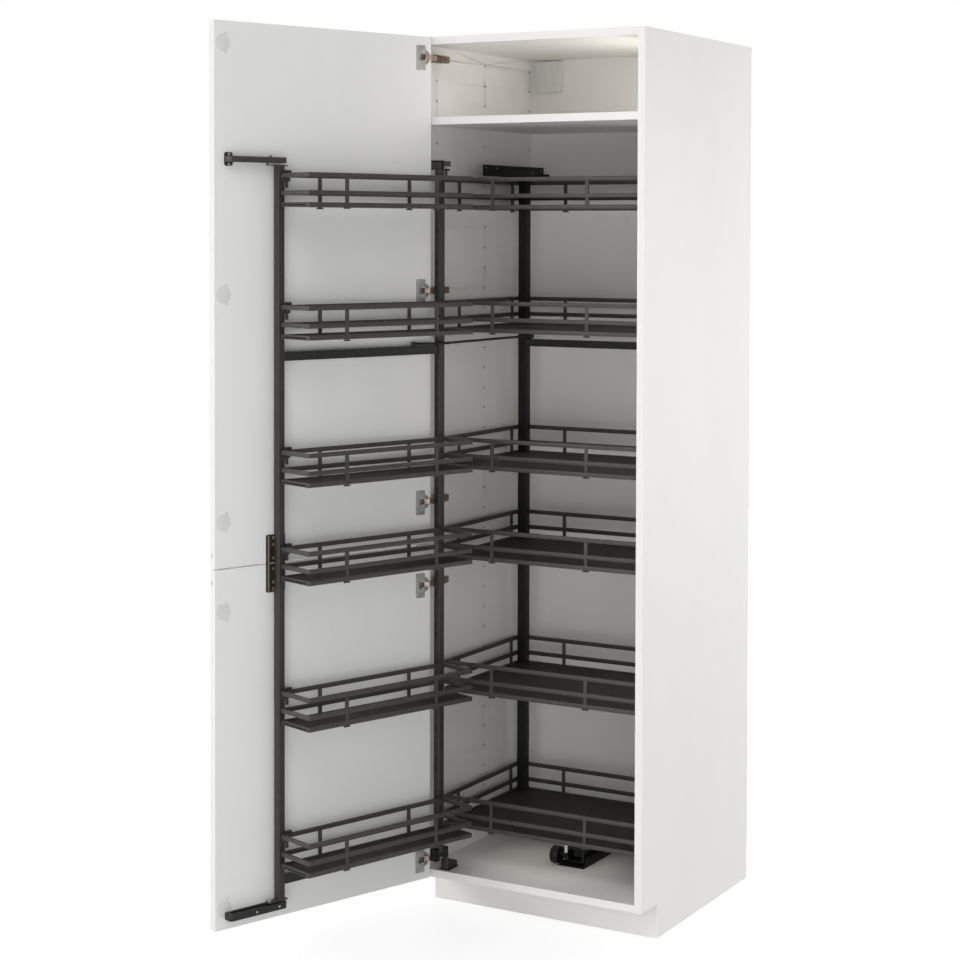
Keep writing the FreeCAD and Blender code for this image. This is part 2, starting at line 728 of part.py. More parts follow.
door_length = "post_span + 2 * door_basket_over"
door_basket = basket("door_basket", door_length, "door_basket_depth",
                     ("upright_inset", f"{door_length} - upright_inset"), ())
door_tray = tray("door_tray", door_length, "door_basket_depth", [])
door_levels = [f"door_tier_{number}" for number in range(1, 7)]
rail_back = "post_depth / 2 - post_aside"
door_place = ("post_along - door_basket_over", rail_back)
tiers("door_basket", door_basket, rack, door_levels, door_place)
tiers("door_tray", door_tray, rack, door_levels, door_place)
clips = []
clip_left = ("post_along + post_width / 2", outer_left + " - clip_width")
for level in door_levels:
    for left in clip_left:
        hook = box("clip_hook", ("clip_width", "clip_thick", "clip_drop + rail_height / 2"),
                   (left, rail_back + " + rail_thick", level + " - clip_drop"))
        over = box("clip_over", ("clip_width", "rail_thick + clip_thick", "clip_thick"),
                   (left, rail_back, level + " + rail_height / 2"))
        clips.append(fuse("basket_clip", [hook, over]))
node("basket_clips", group("basket_clips", clips), rack)

# The link rod's rear pin is placed so that the rod has one length with the rack open and shut
rod_in_rack = FreeCAD.Vector(size("rod_along"), -size("post_aside"), 0)
shut = FreeCAD.Vector(rack_x, rack_y, 0) + rod_in_rack
opened = rack.multVec(rod_in_rack)
rear_post_middle = size("rear_depth") - size("rail_thick") - size("rear_post_depth") / 2
rear_pin_y = corner_y + size("rear_front") + rear_post_middle
open_drop = rear_pin_y - opened.y
shut_drop = rear_pin_y + size("rear_travel") - shut.y
rear_pin_x = (shut.x ** 2 - opened.x ** 2 + shut_drop ** 2 - open_drop ** 2) / (2 * (shut.x - opened.x))
rear_pin = FreeCAD.Vector(rear_pin_x, rear_pin_y, 0)
rod_line = opened - rear_pin
rod_pose = turned(rear_pin.x, rear_pin.y, math.degrees(math.atan2(rod_line.y, rod_line.x)))

# Rear rack: posts in the back corners, cross bars with the rod's pin, and baskets
rear_length = "cab_width - 2 * rear_side_gap"
post_at = ("rail_thick", rear_length + " - rail_thick - rear_post_width")
post_deep = "rear_depth - rail_thick - rear_post_depth"
rear_levels = [f"rear_tier_{number}" for number in range(1, 7)]
rear_pose = turned(corner_x + size("rear_side_gap"), corner_y + size("rear_front"), 0)
rear_posts = []
notches = []
rail_bend = size("corner_radius") - size("rail_thick")
for across in post_at:
    post_dims = ("rear_post_width", "rear_post_depth", "rear_post_high - rear_post_low")
    rear_posts.append(tube("rear_post", post_dims, (across, post_deep, "rear_post_low"), 2, rail_bend))
for across in ("rail_thick - overrun", rear_length + " - rail_thick - rear_post_width"):
    notches.append(box("tray_notch", ("rear_post_width + overrun", "rear_post_depth + overrun",
                                      "tray_thick + 2 * overrun"),
                       (across, post_deep, "0 - floor_rail_drop - rail_height / 2 + tray_lift - overrun")))
node("rear_posts", group("rear_posts", rear_posts), rear_pose)
rear_bars = []
for level in ("rear_mid_bar_level", "rear_post_low"):
    bar_dims = (rear_length + " - 2 * rail_thick - 2 * rear_post_width", "rear_post_depth", "rear_bar_height")
    rear_bars.append(tube("rear_bar", bar_dims, ("rail_thick + rear_post_width", post_deep, level), 0))
rod_pin = cylinder("rod_pin", "rod_radius",
                   "rod_level + eye_height / 2 - rear_mid_bar_level - rear_bar_height",
                   ("0", "0", "rear_mid_bar_level + rear_bar_height"))
rod_seat = group("rod_seat", [rod_pin])
rod_seat.Placement.Base = rear_pin - rear_pose.Base
node("rear_cross_bars", group("rear_cross_bars", rear_bars + [rod_seat]), rear_pose)
rear_middle = f"({rear_length}) / 2"
rear_basket = basket("rear_basket", rear_length, "rear_depth",
                     (rear_middle + " - rear_upright_shift - rear_upright_spread",
                      rear_middle + " - rear_upright_shift + rear_upright_spread"),
                     ("rear_side_inset", "rear_depth - rear_side_inset"))
rear_tray = tray("rear_tray", rear_length, "rear_depth", notches)
tiers("rear_basket", rear_basket, rear_pose, rear_levels, ("0", "0"))
tiers("rear_tray", rear_tray, rear_pose, rear_levels, ("0", "0"))

# Floor runner and the rear rack's carriage
runner_left = "((cab_width - runner_width) / 2 + runner_shift)"
base = box("runner_base", ("runner_width", "runner_length", "runner_height"),
           (runner_left, "runner_front", floor_top))
groove_dims = ("runner_width - 2 * runner_wall", "runner_length + 2 * overrun", "runner_height")
groove = box("runner_groove", groove_dims,
             (runner_left + " + runner_wall", "runner_front - overrun", floor_top + " + runner_wall"))
node("floor_runner", cut("floor_runner", base, [groove]), corner)
carriage_low = floor_top + " + runner_wall + running_gap"
beam = box("carriage_beam", ("carriage_width", "rear_front + rear_depth - rail_thick - carriage_front",
                             f"rear_post_low - ({carriage_low})"),
           ("(cab_width - carriage_width) / 2 + runner_shift", "carriage_front", carriage_low))
axle_level = floor_top + " + roller_radius + running_gap"
axle_back = "carriage_front + roller_back"
roller_left = runner_left + " - roller_gap - roller_width"
roller = cylinder("carriage_roller", "roller_radius", "roller_width",
                  (roller_left, axle_back, axle_level), along)
axle = cylinder("carriage_axle", "rod_radius", "roller_gap + (runner_width - carriage_width) / 2",
           (runner_left + " - roller_gap", axle_back, axle_level), along)
node("rear_carriage", fuse("rear_carriage", [beam, roller, axle]), corner)

# Guides that the rear posts run under
guides = []
right_guide = "cab_width - board - guide_reach"
for web_left, flange_left in (("board + guide_reach - guide_thick", "board"), (right_guide, right_guide)):
    web = box("guide_web", ("guide_thick", "guide_length", "guide_height"),
              (web_left, "guide_front", "guide_level"))
    flange = box("guide_flange", ("guide_reach", "guide_length / 2", "guide_thick"),
                 (flange_left, "guide_front + guide_length / 2", "guide_level + guide_height - guide_thick"))
    guides.append(fuse("top_guide", [web, flange]))
node("top_guides", group("top_guides", guides), corner)

# Link rod, bent round the pivot post, with an eye on the rear pin and a shoe over the swing rack's bar
half_eye = size("eye_height") / 2
eye_at = up * (size("rod_level") - half_eye)
eye = Part.makeCylinder(size("eye_radius"), size("eye_height"), eye_at)
bore = Part.makeCylinder(size("rod_radius") + size("running_gap"), size("eye_height"), eye_at)
rod_level = size("rod_level")
knee_along = rod_line.Length - size("rod_knee_back")
rod_points = [FreeCAD.Vector(0, 0, rod_level), FreeCAD.Vector(knee_along, size("rod_knee_bow"), rod_level),
              FreeCAD.Vector(rod_line.Length, 0, rod_level)]
knee = Part.makeSphere(size("rod_radius"), rod_points[1])
runs = []
for begin, finish in zip(rod_points, rod_points[1:]):
    run = finish - begin
    runs.append(Part.makeCylinder(size("rod_radius"), run.Length, begin, run))
shoe_low = size("mid_bar_level") + size("bar_height") + size("running_gap")
shoe_at = FreeCAD.Vector(rod_line.Length, 0, shoe_low)
shoe = Part.makeCylinder(size("shoe_radius"), size("rod_level") + half_eye - shoe_low, shoe_at)
link_rod = doc.addObject("Part::Feature", "link_rod")
link_rod.Shape = eye.fuse(runs + [knee, shoe]).cut(bore).removeSplitter()
node("link_rod", link_rod, rod_pose)

doc.recompute()
os.makedirs("parts", exist_ok=True)
for obj in doc.Objects:
    if "Invalid" in obj.State or "Error" in obj.State:
        raise RuntimeError(obj.Name + " did not recompute")
for label, obj in nodes.items():
    if obj.Shape.isNull() or not obj.Shape.isValid():
        raise RuntimeError(label + " has no valid shape")
    obj.Shape.exportStep(f"parts/{label}.step")
print(len(nodes), "nodes written")
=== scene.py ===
import bpy
import json
import math
from mathutils import Matrix, Vector


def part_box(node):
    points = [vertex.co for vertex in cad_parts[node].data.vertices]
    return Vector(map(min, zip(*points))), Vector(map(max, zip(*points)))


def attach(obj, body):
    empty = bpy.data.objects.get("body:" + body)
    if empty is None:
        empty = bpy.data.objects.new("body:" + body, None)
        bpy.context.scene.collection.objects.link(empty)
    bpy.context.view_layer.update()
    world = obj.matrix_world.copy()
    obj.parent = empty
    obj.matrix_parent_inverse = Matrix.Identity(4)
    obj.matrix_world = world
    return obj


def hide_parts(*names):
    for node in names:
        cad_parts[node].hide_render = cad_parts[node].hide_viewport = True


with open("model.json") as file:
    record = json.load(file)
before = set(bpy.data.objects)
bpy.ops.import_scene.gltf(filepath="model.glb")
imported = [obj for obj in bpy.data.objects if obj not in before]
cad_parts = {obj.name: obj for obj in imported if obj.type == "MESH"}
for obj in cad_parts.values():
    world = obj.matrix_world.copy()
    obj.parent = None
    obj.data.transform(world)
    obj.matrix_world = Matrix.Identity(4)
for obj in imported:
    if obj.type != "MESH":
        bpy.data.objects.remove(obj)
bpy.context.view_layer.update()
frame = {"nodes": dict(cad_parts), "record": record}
nodes = frame["nodes"]
print("frame loaded:", len(nodes), "nodes")

# where the open doors and the open rack stand, seen from above
openPose = dict(doorTurn=-110.0, doorPin=(0.014, -0.002), rackTurn=-108.8)
pivots = {joint["name"]: joint for joint in frame["record"]["behaviour"]["joints"]}


def standing(x, y, degrees):
    return Matrix.Translation((x, y, 0)) @ Matrix.Rotation(math.radians(degrees), 4, "Z")


pinAt = Vector(pivots["door_hinge"]["pos_m"])
pinReach = Matrix.Rotation(math.radians(openPose["doorTurn"]), 3, "Z") @ Vector((*openPose["doorPin"], 0))
doorPlace = standing(pinAt.x - pinReach.x, pinAt.y - pinReach.y, openPose["doorTurn"])
rackAt = pivots["rack_pivot"]["pos_m"]
rackPlace = standing(rackAt[0], rackAt[1], openPose["rackTurn"])
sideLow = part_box("left_side")[0]
cornerPlace = standing(sideLow[0], sideLow[1], 0)


# a node's box and its levels, measured in one of those places
def boxIn(name, place):
    back = place.inverted()
    points = [back @ vertex.co for vertex in nodes[name].data.vertices]
    low = Vector([min(point[axis] for point in points) for axis in range(3)])
    high = Vector([max(point[axis] for point in points) for axis in range(3)])
    return low, high


def levelsOf(name, gap=0.03):
    heights = sorted({round(vertex.co.z, 5) for vertex in nodes[name].data.vertices})
    groups = [[heights[0]]]
    for height in heights[1:]:
        if height - groups[-1][-1] > gap:
            groups.append([])
        groups[-1].append(height)
    return [(group[0] + group[-1]) / 2 for group in groups]


# edges that turn by more than sharpAngle degrees are bevelled and shaded sharp, a direction counts as along an axis
# from the share straight on, and what lies within touch of an end belongs to it
sharpAngle, straight, touch = 32.0, 0.99, 0.001


# modelling by hand: one piece picked at a time
def mode(name):
    bpy.ops.object.mode_set(mode=name)


def clearPick():
    if bpy.context.mode != "OBJECT":
        mode("OBJECT")
    bpy.ops.object.select_all(action="DESELECT")


def pick(piece):
    clearPick()
    piece.select_set(True)
    bpy.context.view_layer.objects.active = piece
    return piece


def addBevel(piece, width, steps, angle):
    bevel = piece.modifiers.new("edges", "BEVEL")
    bevel.width = width
    bevel.segments = steps
    bevel.limit_method = "ANGLE"
    bevel.angle_limit = math.radians(angle)
    return bevel


def soften(piece, width, steps=2, angle=sharpAngle):
    pick(piece)
    bpy.ops.object.modifier_apply(modifier=addBevel(piece, width, steps, angle).name)
    return piece


def addBlock(low, high, edge=0.0, corners=()):
    clearPick()
    middle = [(a + b) / 2 for a, b in zip(low, high)]
    bpy.ops.mesh.primitive_cube_add(size=1, location=middle)
    piece = bpy.context.object
    piece.scale = [b - a for a, b in zip(low, high)]
    bpy.ops.object.transform_apply(location=True, rotation=True, scale=True)
    if corners:
        roundCorners(piece, *corners)
    return soften(piece, edge) if edge else piece


def addRound(radius, length, middle, axis, sides, edge=0.0):
    clearPick()
    turn = {"X": (0, math.pi / 2, 0), "Y": (math.pi / 2, 0, 0), "Z": (0, 0, 0)}[axis]
    bpy.ops.mesh.primitive_cylinder_add(vertices=sides, radius=radius, depth=length, location=middle, rotation=turn)
    bpy.ops.object.transform_apply(location=True, rotation=True, scale=True)
    piece = bpy.context.object
    return soften(piece, edge) if edge else piece


def startPicking(piece, kind):
    pick(piece)
    mode("EDIT")
    bpy.ops.mesh.select_mode(type=kind)
    bpy.ops.mesh.select_all(action="DESELECT")
    mode("OBJECT")


# leaves the piece in edit mode, with the faces selected that a test picks
def pickFaces(piece, wanted):
    startPicking(piece, "FACE")
    for side in piece.data.polygons:
        side.select = wanted(side)
    mode("EDIT")


# bevels the edges that run along one axis, all of them or those that a test picks
def roundCorners(piece, axis, radius, steps, only=None):
    startPicking(piece, "EDGE")
    points = piece.data.vertices
    for line in piece.data.edges:
        start, end = [points[index].co for index in line.vertices]
        along = abs((end - start).normalized()[axis]) > straight
        line.select = along and (only is None or only((start + end) / 2))
    mode("EDIT")
    bpy.ops.mesh.bevel(offset=radius, segments=steps, affect="EDGES")
    mode("OBJECT")
    return piece


def combine(piece, others, way):
    for other in others:
        pick(piece)
        union = piece.modifiers.new("combine", "BOOLEAN")
        union.operation = way
        union.solver = "EXACT"
        union.object = other
        bpy.ops.object.modifier_apply(modifier=union.name)
        bpy.data.objects.remove(other, do_unlink=True)
    return piece


def carve(piece, cutters):
    return combine(piece, cutters, "DIFFERENCE")


# one closed skin out of pieces that overlap
def weld(piece, others):
    return combine(piece, others, "UNION")


def gather(pieces):
    clearPick()
    for piece in pieces:
        piece.select_set(True)
    bpy.context.view_layer.objects.active = pieces[0]
    if len(pieces) > 1:
        bpy.ops.object.join()
    return bpy.context.object


def paint(piece, finish):
    piece.data.materials.clear()
    piece.data.materials.append(finishes[finish])
    return piece


def paintAll(finish, *pieces):
    return [paint(piece, finish) for piece in pieces]


def shift(piece, x, y, z):
    piece.data.transform(Matrix.Translation((x, y, z)))
    return piece


def twin(piece, x=0.0, y=0.0, z=0.0):
    other = piece.copy()
    other.data = piece.data.copy()
    bpy.context.collection.objects.link(other)
    return shift(other, x, y, z)


# a list for each piece: itself and its copies
def copies(count, *pieces):
    return [[piece] + [twin(piece) for number in range(count - 1)] for piece in pieces]


def settle(pieces, name, body, slot, place, *standsFor):
    piece = pick(gather(pieces))
    piece.data.transform(place)
    bpy.ops.object.shade_smooth_by_angle(angle=math.radians(sharpAngle))
    piece.name = name
    piece.data.name = name
    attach(piece, body)
    if standsFor:
        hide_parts(*standsFor)


# finishes, all from nodes on object coordinates, in metres
def addNode(tree, kind, settings=None, **inputs):
    node = tree.nodes.new("ShaderNode" + kind)
    for key, value in (settings or {}).items():
        setattr(node, key, value)
    for key, value in inputs.items():
        node.inputs[key].default_value = value
    return node


def wire(tree, *pairs):
    for source, target in pairs:
        tree.links.new(source, target)


noiseSpan = (0.3, 0.7)   # most of a noise's values lie between these


def noiseOn(tree, scale, detail, stretch):
    coords = addNode(tree, "TexCoord")
    mapping = addNode(tree, "Mapping", Scale=stretch)
    noise = addNode(tree, "TexNoise", Scale=scale, Detail=detail)
    wire(tree, (coords.outputs["Object"], mapping.inputs["Vector"]),
         (mapping.outputs["Vector"], noise.inputs["Vector"]))
    return noise.outputs["Fac"]


def spread(tree, source, low, high, span=noiseSpan):
    ranged = addNode(tree, "MapRange", **{"From Min": span[0], "From Max": span[1], "To Min": low, "To Max": high})
    tree.links.new(source, ranged.inputs["Value"])
    return ranged.outputs["Result"]


def shades(tree, source, dark, light):
    ramp = addNode(tree, "ValToRGB")
    for stop, position, color in zip(ramp.color_ramp.elements, noiseSpan, (dark, light)):
        stop.position = position
        stop.color = (*color, 1)
    tree.links.new(source, ramp.inputs["Fac"])
    return ramp.outputs["Color"]


def makeFinish(name, own):
    look = {**plainLook, **own}
    finish = bpy.data.materials.new(name)
    finish.use_nodes = True
    tree = finish.node_tree
    shader = tree.nodes["Principled BSDF"]
    shader.inputs["Metallic"].default_value = look["metal"]
    shader.inputs["Specular IOR Level"].default_value = look["gloss"]
    cloud = noiseOn(tree, look["cloud"], look["cloudDetail"], look["cloudStretch"])
    tree.links.new(shades(tree, cloud, look["dark"], look["light"]), shader.inputs["Base Color"])
    grain = noiseOn(tree, look["grain"], look["grainDetail"], look["grainStretch"])
    tree.links.new(spread(tree, grain, *look["rough"]), shader.inputs["Roughness"])
    height = noiseOn(tree, look["bumps"], look["grainDetail"], look["grainStretch"])
    bump = addNode(tree, "Bump", Strength=look["bump"], Distance=look["bumpDepth"])
    tree.links.new(height, bump.inputs["Height"])
    tree.links.new(bump.outputs["Normal"], shader.inputs["Normal"])
    return finish


# what looks have in common: all of them, the foils, the coats, the pale mouldings and the plated steel
plainLook = dict(metal=0.0, gloss=0.5, cloudDetail=4.0, cloudStretch=(1, 1, 1), grainDetail=2.0,
                 grainStretch=(1, 1, 1), bumpDepth=0.0002)
foil = dict(cloud=5.0, cloudStretch=(1, 1, 0.3), grain=420.0, grainStretch=(1, 1, 0.25), rough=(0.42, 0.56),
            bumps=900.0, bump=0.12, gloss=0.4)
coat = dict(cloud=60.0, grain=1500.0, rough=(0.36, 0.52), bumps=1800.0, bump=0.2)
moulded = dict(cloud=50.0, grain=1500.0, rough=(0.35, 0.5), bumps=2000.0, bump=0.1)
plated = dict(cloud=90.0, grain=900.0, grainStretch=(1, 0.1, 1), rough=(0.35, 0.5), bumps=1400.0, bump=0.12)
looks = dict(
    whiteFoil=dict(foil, dark=(0.865, 0.865, 0.855), light=(0.895, 0.895, 0.885)),
    warmFoil=dict(foil, dark=(0.87, 0.86, 0.838), light=(0.898, 0.888, 0.866)),
    powderCoat=dict(coat, dark=(0.036, 0.032, 0.029), light=(0.047, 0.043, 0.039), gloss=0.7),
    postCoat=dict(coat, dark=(0.022, 0.0195, 0.018), light=(0.03, 0.027, 0.025), gloss=0.6),
    trayFoil=dict(dark=(0.024, 0.02, 0.018), light=(0.034, 0.029, 0.026), cloud=30.0, grain=700.0, rough=(0.5, 0.68),
                  bumps=1100.0, bump=0.3, bumpDepth=0.0003, gloss=0.4),
    blackPlastic=dict(dark=(0.012, 0.012, 0.012), light=(0.02, 0.02, 0.02), cloud=80.0, grain=2000.0,
                      rough=(0.38, 0.55), bumps=2600.0, bump=0.2),
    inkSteel=dict(dark=(0.004, 0.004, 0.0035), light=(0.008, 0.008, 0.007), cloud=80.0, grain=1800.0,
                  rough=(0.42, 0.58), bumps=2400.0, bump=0.2, gloss=0.35),
    palePlastic=dict(moulded, dark=(0.68, 0.675, 0.66), light=(0.73, 0.725, 0.71)),
    milkPlastic=dict(moulded, dark=(0.755, 0.76, 0.735), light=(0.79, 0.795, 0.77)),
    nickel=dict(dark=(0.5, 0.49, 0.47), light=(0.6, 0.59, 0.57), cloud=120.0, metal=1.0, grain=900.0,
                grainStretch=(1, 1, 0.08), rough=(0.28, 0.42), bumps=1500.0, bump=0.1),
    satinNickel=dict(dark=(0.42, 0.425, 0.405), light=(0.51, 0.515, 0.495), cloud=90.0, metal=0.7, grain=1200.0,
                     rough=(0.45, 0.6), bumps=1800.0, bump=0.1),
    copperPlate=dict(dark=(0.44, 0.32, 0.27), light=(0.56, 0.43, 0.37), cloud=150.0, metal=0.9, grain=1000.0,
                     grainStretch=(1, 1, 0.1), rough=(0.3, 0.45), bumps=1500.0, bump=0.1),
    bronzePlate=dict(plated, dark=(0.21, 0.165, 0.105), light=(0.28, 0.225, 0.15), metal=0.8),
    mauvePlate=dict(plated, dark=(0.13, 0.088, 0.074), light=(0.18, 0.13, 0.112), metal=0.6),
    # painted light on the joining plate's bronze: next a pale painted highlight for its ridge, then a dark bronze that
    # is partly painted shade
    beigePlate=dict(plated, dark=(0.3, 0.285, 0.235), light=(0.4, 0.38, 0.32), metal=0.4, grainStretch=(1, 1, 0.1)),
    brownSteel=dict(dark=(0.04, 0.026, 0.016), light=(0.058, 0.04, 0.026), cloud=90.0, metal=0.3, grain=1200.0,
                    rough=(0.4, 0.55), bumps=1600.0, bump=0.15),
    zincScrew=dict(dark=(0.6, 0.57, 0.54), light=(0.72, 0.69, 0.66), cloud=300.0, metal=0.9, grain=2500.0,
                   rough=(0.25, 0.4), bumps=3000.0, bump=0.1, bumpDepth=0.0001))
finishes = {name: makeFinish(name, look) for name, look in looks.items()}
print("finishes made:", len(finishes))

# solids that keep their CAD shape get softened edges and a finish
dressing = dict(mergeUnder=0.00001, steps=2, angle=40.0, flatWeight=100)


def dress(name, finish, edge):
    node = nodes[name]
    if not node.material_slots:
        node.data.materials.append(finishes[finish])
    for holder in node.material_slots:
        holder.link = "OBJECT"
        holder.material = finishes[finish]
    merge = node.modifiers.new("merge", "WELD")
    merge.merge_threshold = dressing["mergeUnder"]
    addBevel(node, edge, dressing["steps"], dressing["angle"]).use_clamp_overlap = False
    level = node.modifiers.new("flats", "WEIGHTED_NORMAL")
    level.weight = dressing["flatWeight"]
    level.keep_sharp = True


tiers = range(1, 7)
dressed = (("warmFoil", 0.0006, ("left_side", "right_side", "bottom_board", "top_board", "fixed_shelf", "back_board",
                                 "plinth_front", "plinth_sides")),
           ("whiteFoil", 0.0006, ("upper_door", "lower_door")),
           ("blackPlastic", 0.001, ("legs", "rack_cross_bars")),
           ("blackPlastic", 0.0008, ("rear_cross_bars",)),
           ("blackPlastic", 0.0005, ("link_rod",)),
           ("palePlastic", 0.0004, ("door_edge_caps",)),
           ("copperPlate", 0.0004, ("hinge_links",)),
           ("satinNickel", 0.0006, ("hinge_plates",)),
           ("trayFoil", 0.0008, [f"{rack}_tray_{number}" for rack in ("door", "rear") for number in tiers]))
for finish, edge, names in dressed:
    for name in names:
        dress(name, finish, edge)
print("boards, bars and trays dressed")

# painted shade: the peg holes show dark because a near-black plug sits in each, a little under the foil, its seen end
# dished like a drilled hole
pegs = dict(radius=0.00248, under=0.0006, long=0.007, sides=10, low=0.132, pitch=0.05, count=39,
            deep=(0.0585, 0.285, 0.51), faces=((0.018, -1), (0.582, 1)), rim=0.35, dish=0.003)
frontDeep = pegs["deep"][0]
shadePlugs = []
for face, inward in pegs["faces"]:
    middle = face + inward * (pegs["under"] + pegs["long"] / 2)
    first = addRound(pegs["radius"], pegs["long"], (middle, frontDeep, pegs["low"]), "X", pegs["sides"])
    pickFaces(first, lambda side: side.normal.x * inward < -straight)
    bpy.ops.mesh.inset(thickness=pegs["radius"] * pegs["rim"])
    bpy.ops.transform.translate(value=(inward * pegs["dish"], 0, 0))
    mode("OBJECT")
    shadePlugs += [twin(first, 0, deep - frontDeep, number * pegs["pitch"])
              for number in range(pegs["count"]) for deep in pegs["deep"] if number or deep != frontDeep]
    shadePlugs.append(first)
shadePlugCount = len(shadePlugs)
settle([paint(gather(shadePlugs), "inkSteel")], "pegHoleLinings", "carcass", "black_plastic", cornerPlace)
print("peg holes lined:", shadePlugCount)

# pan-head screw with a cross recess, its seat at zero before it moves to its place
screwHead = dict(radius=0.004, high=0.0016, sides=20, edge=0.0007, cross=0.0044, slot=0.0009, deep=0.0009,
                 cutOver=0.004)


def addScrew(finish, at, size=1.0, facing=0):
    # the head looks along +Y, or along +X or -X where facing is 1 or -1
    head = addRound(screwHead["radius"], screwHead["high"], (0, screwHead["high"] / 2, 0), "Y", screwHead["sides"])
    soften(head, screwHead["edge"], 3)
    half, thin = screwHead["cross"] / 2, screwHead["slot"] / 2
    floor, over = screwHead["high"] - screwHead["deep"], screwHead["cutOver"]
    carve(head, [addBlock((-half, floor, -thin), (half, over, thin)),
                 addBlock((-thin, floor, -half), (thin, over, half))])
    head.data.transform(Matrix.Rotation(-facing * math.pi / 2, 4, "Z") @ Matrix.Scale(size, 4))
    return paint(shift(head, *at), finish)


# concealed hinges: the cup on the door, the arm on the side board, and what addCheek and addPin take for each
hinge = dict(cupEdge=0.0225, rimRadius=0.0185, rimOver=0.0005, bowlRadius=0.0172, wall=0.0024, sink=0.0114,
             floor=0.0012, sides=56, plateFrom=0.0175, plateEnd=0.044, plateHigh=0.058, plateDrop=0.0015,
             plateRound=0.0025, thick=0.0013, mouthEnd=0.0312, mouthHigh=0.02, slotEnd=0.0354, slotHigh=0.013,
             screwStep=0.0215, screwAt=0.0375, screwSink=0.0008, boreLong=0.02, cutOver=0.03, cutEnd=0.06)
arm = dict(near=0.03, far=0.0485, front=0.013, back=0.069, wide=0.0175, taper=0.92, dip=0.0015, joinAt=0.034,
           screwAt=0.044, screwHole=0.0036, screwSink=0.005, screwSize=0.85, adjustAt=0.0535, adjustHole=0.0022,
           neckIn=0.0006, fold=0.0036, foldDeep=0.0034, cutEnd=0.06)
cheeks = {"cup": ((0.0085, -0.0092), (0.0292, 0.0017), 0.0088, 0.0007, 0.0002, "nickel", 0.003, 4),
          "tongue": ((0.0172, -0.003), (0.0232, 0.0034), 0.0074, 0.001, 0.0003, "nickel", 0.0016, 3),
          "arm": ((0.0405, 0.0035), (arm["far"], arm["front"] + 0.004), 0.0072, 0.0015, 0.0004, "mauvePlate",
                  0.0034, 4, lambda middle: middle.y < 0.005)}
hingePins = {"stub": (0.0016, 0.0042, (0.0255, 0.0006), 0.0004, 0.0086),
             "cup": (0.0016, 0.0215, (0.014, -0.002), 0.0004), "arm": (0.0015, 0.0185, (0.0447, 0.008), 0.0003)}


def addCheek(side, low, high, apart, half, edge, finish, *corners):
    cheek = addBlock((*low, side * apart - half), (*high, side * apart + half), edge, (2, *corners))
    return paint(cheek, finish)


def addPin(side, radius, long, at, edge, apart=0.0):
    return paint(addRound(radius, long, (*at, side * apart), "Z", 20, edge), "nickel")


def makeHingeCup():
    edge, thick, sides, over = hinge["cupEdge"], hinge["thick"], hinge["sides"], hinge["cutOver"]
    start, cutEnd, half = hinge["plateFrom"], hinge["cutEnd"], hinge["mouthHigh"] / 2
    plate = addBlock((start, 0.0, -hinge["plateHigh"] / 2 - hinge["plateDrop"]),
                     (hinge["plateEnd"], thick, hinge["plateHigh"] / 2 - hinge["plateDrop"]))
    roundCorners(plate, 1, hinge["plateRound"], 4)
    rimMiddle = thick / 2 + hinge["rimOver"] / 2
    rim = addRound(hinge["rimRadius"], thick + hinge["rimOver"], (edge, rimMiddle, 0), "Y", sides)
    bore = addRound(hinge["bowlRadius"] - hinge["wall"], hinge["boreLong"], (edge, 0, 0), "Y", sides)
    carve(bore, [addBlock((start, -over, half), (cutEnd, over, over)),
                 addBlock((start, -over, -over), (cutEnd, over, -half)),
                 addBlock((hinge["mouthEnd"], -over, -over), (cutEnd, over, over))])
    slot = addBlock((edge, -hinge["boreLong"], -hinge["slotHigh"] / 2),
                    (hinge["slotEnd"], hinge["boreLong"], hinge["slotHigh"] / 2))
    carve(rim, [twin(bore), twin(slot)])
    carve(plate, [bore, slot])
    soften(plate, 0.0004)
    soften(rim, 0.0005)
    bowl = addRound(hinge["bowlRadius"], hinge["sink"], (edge, -hinge["sink"] / 2, 0), "Y", sides)
    hollow = addRound(hinge["bowlRadius"] - hinge["wall"], hinge["sink"],
                      (edge, hinge["floor"] - hinge["sink"] / 2, 0), "Y", sides)
    carve(bowl, [hollow])
    pieces = paintAll("satinNickel", plate, rim, bowl)
    # the cheeks and pins leave room between them for the link's fold
    for side in (-1, 1):
        pieces += [addCheek(side, *cheeks["cup"]), addPin(side, *hingePins["stub"]), addCheek(side, *cheeks["tongue"])]
    pieces.append(addPin(0, *hingePins["cup"]))
    for side in (-1, 1):
        screwAt = (hinge["screwAt"], thick - hinge["screwSink"], side * hinge["screwStep"] - hinge["plateDrop"])
        pieces.append(addScrew("satinNickel", screwAt))
    return gather(pieces)


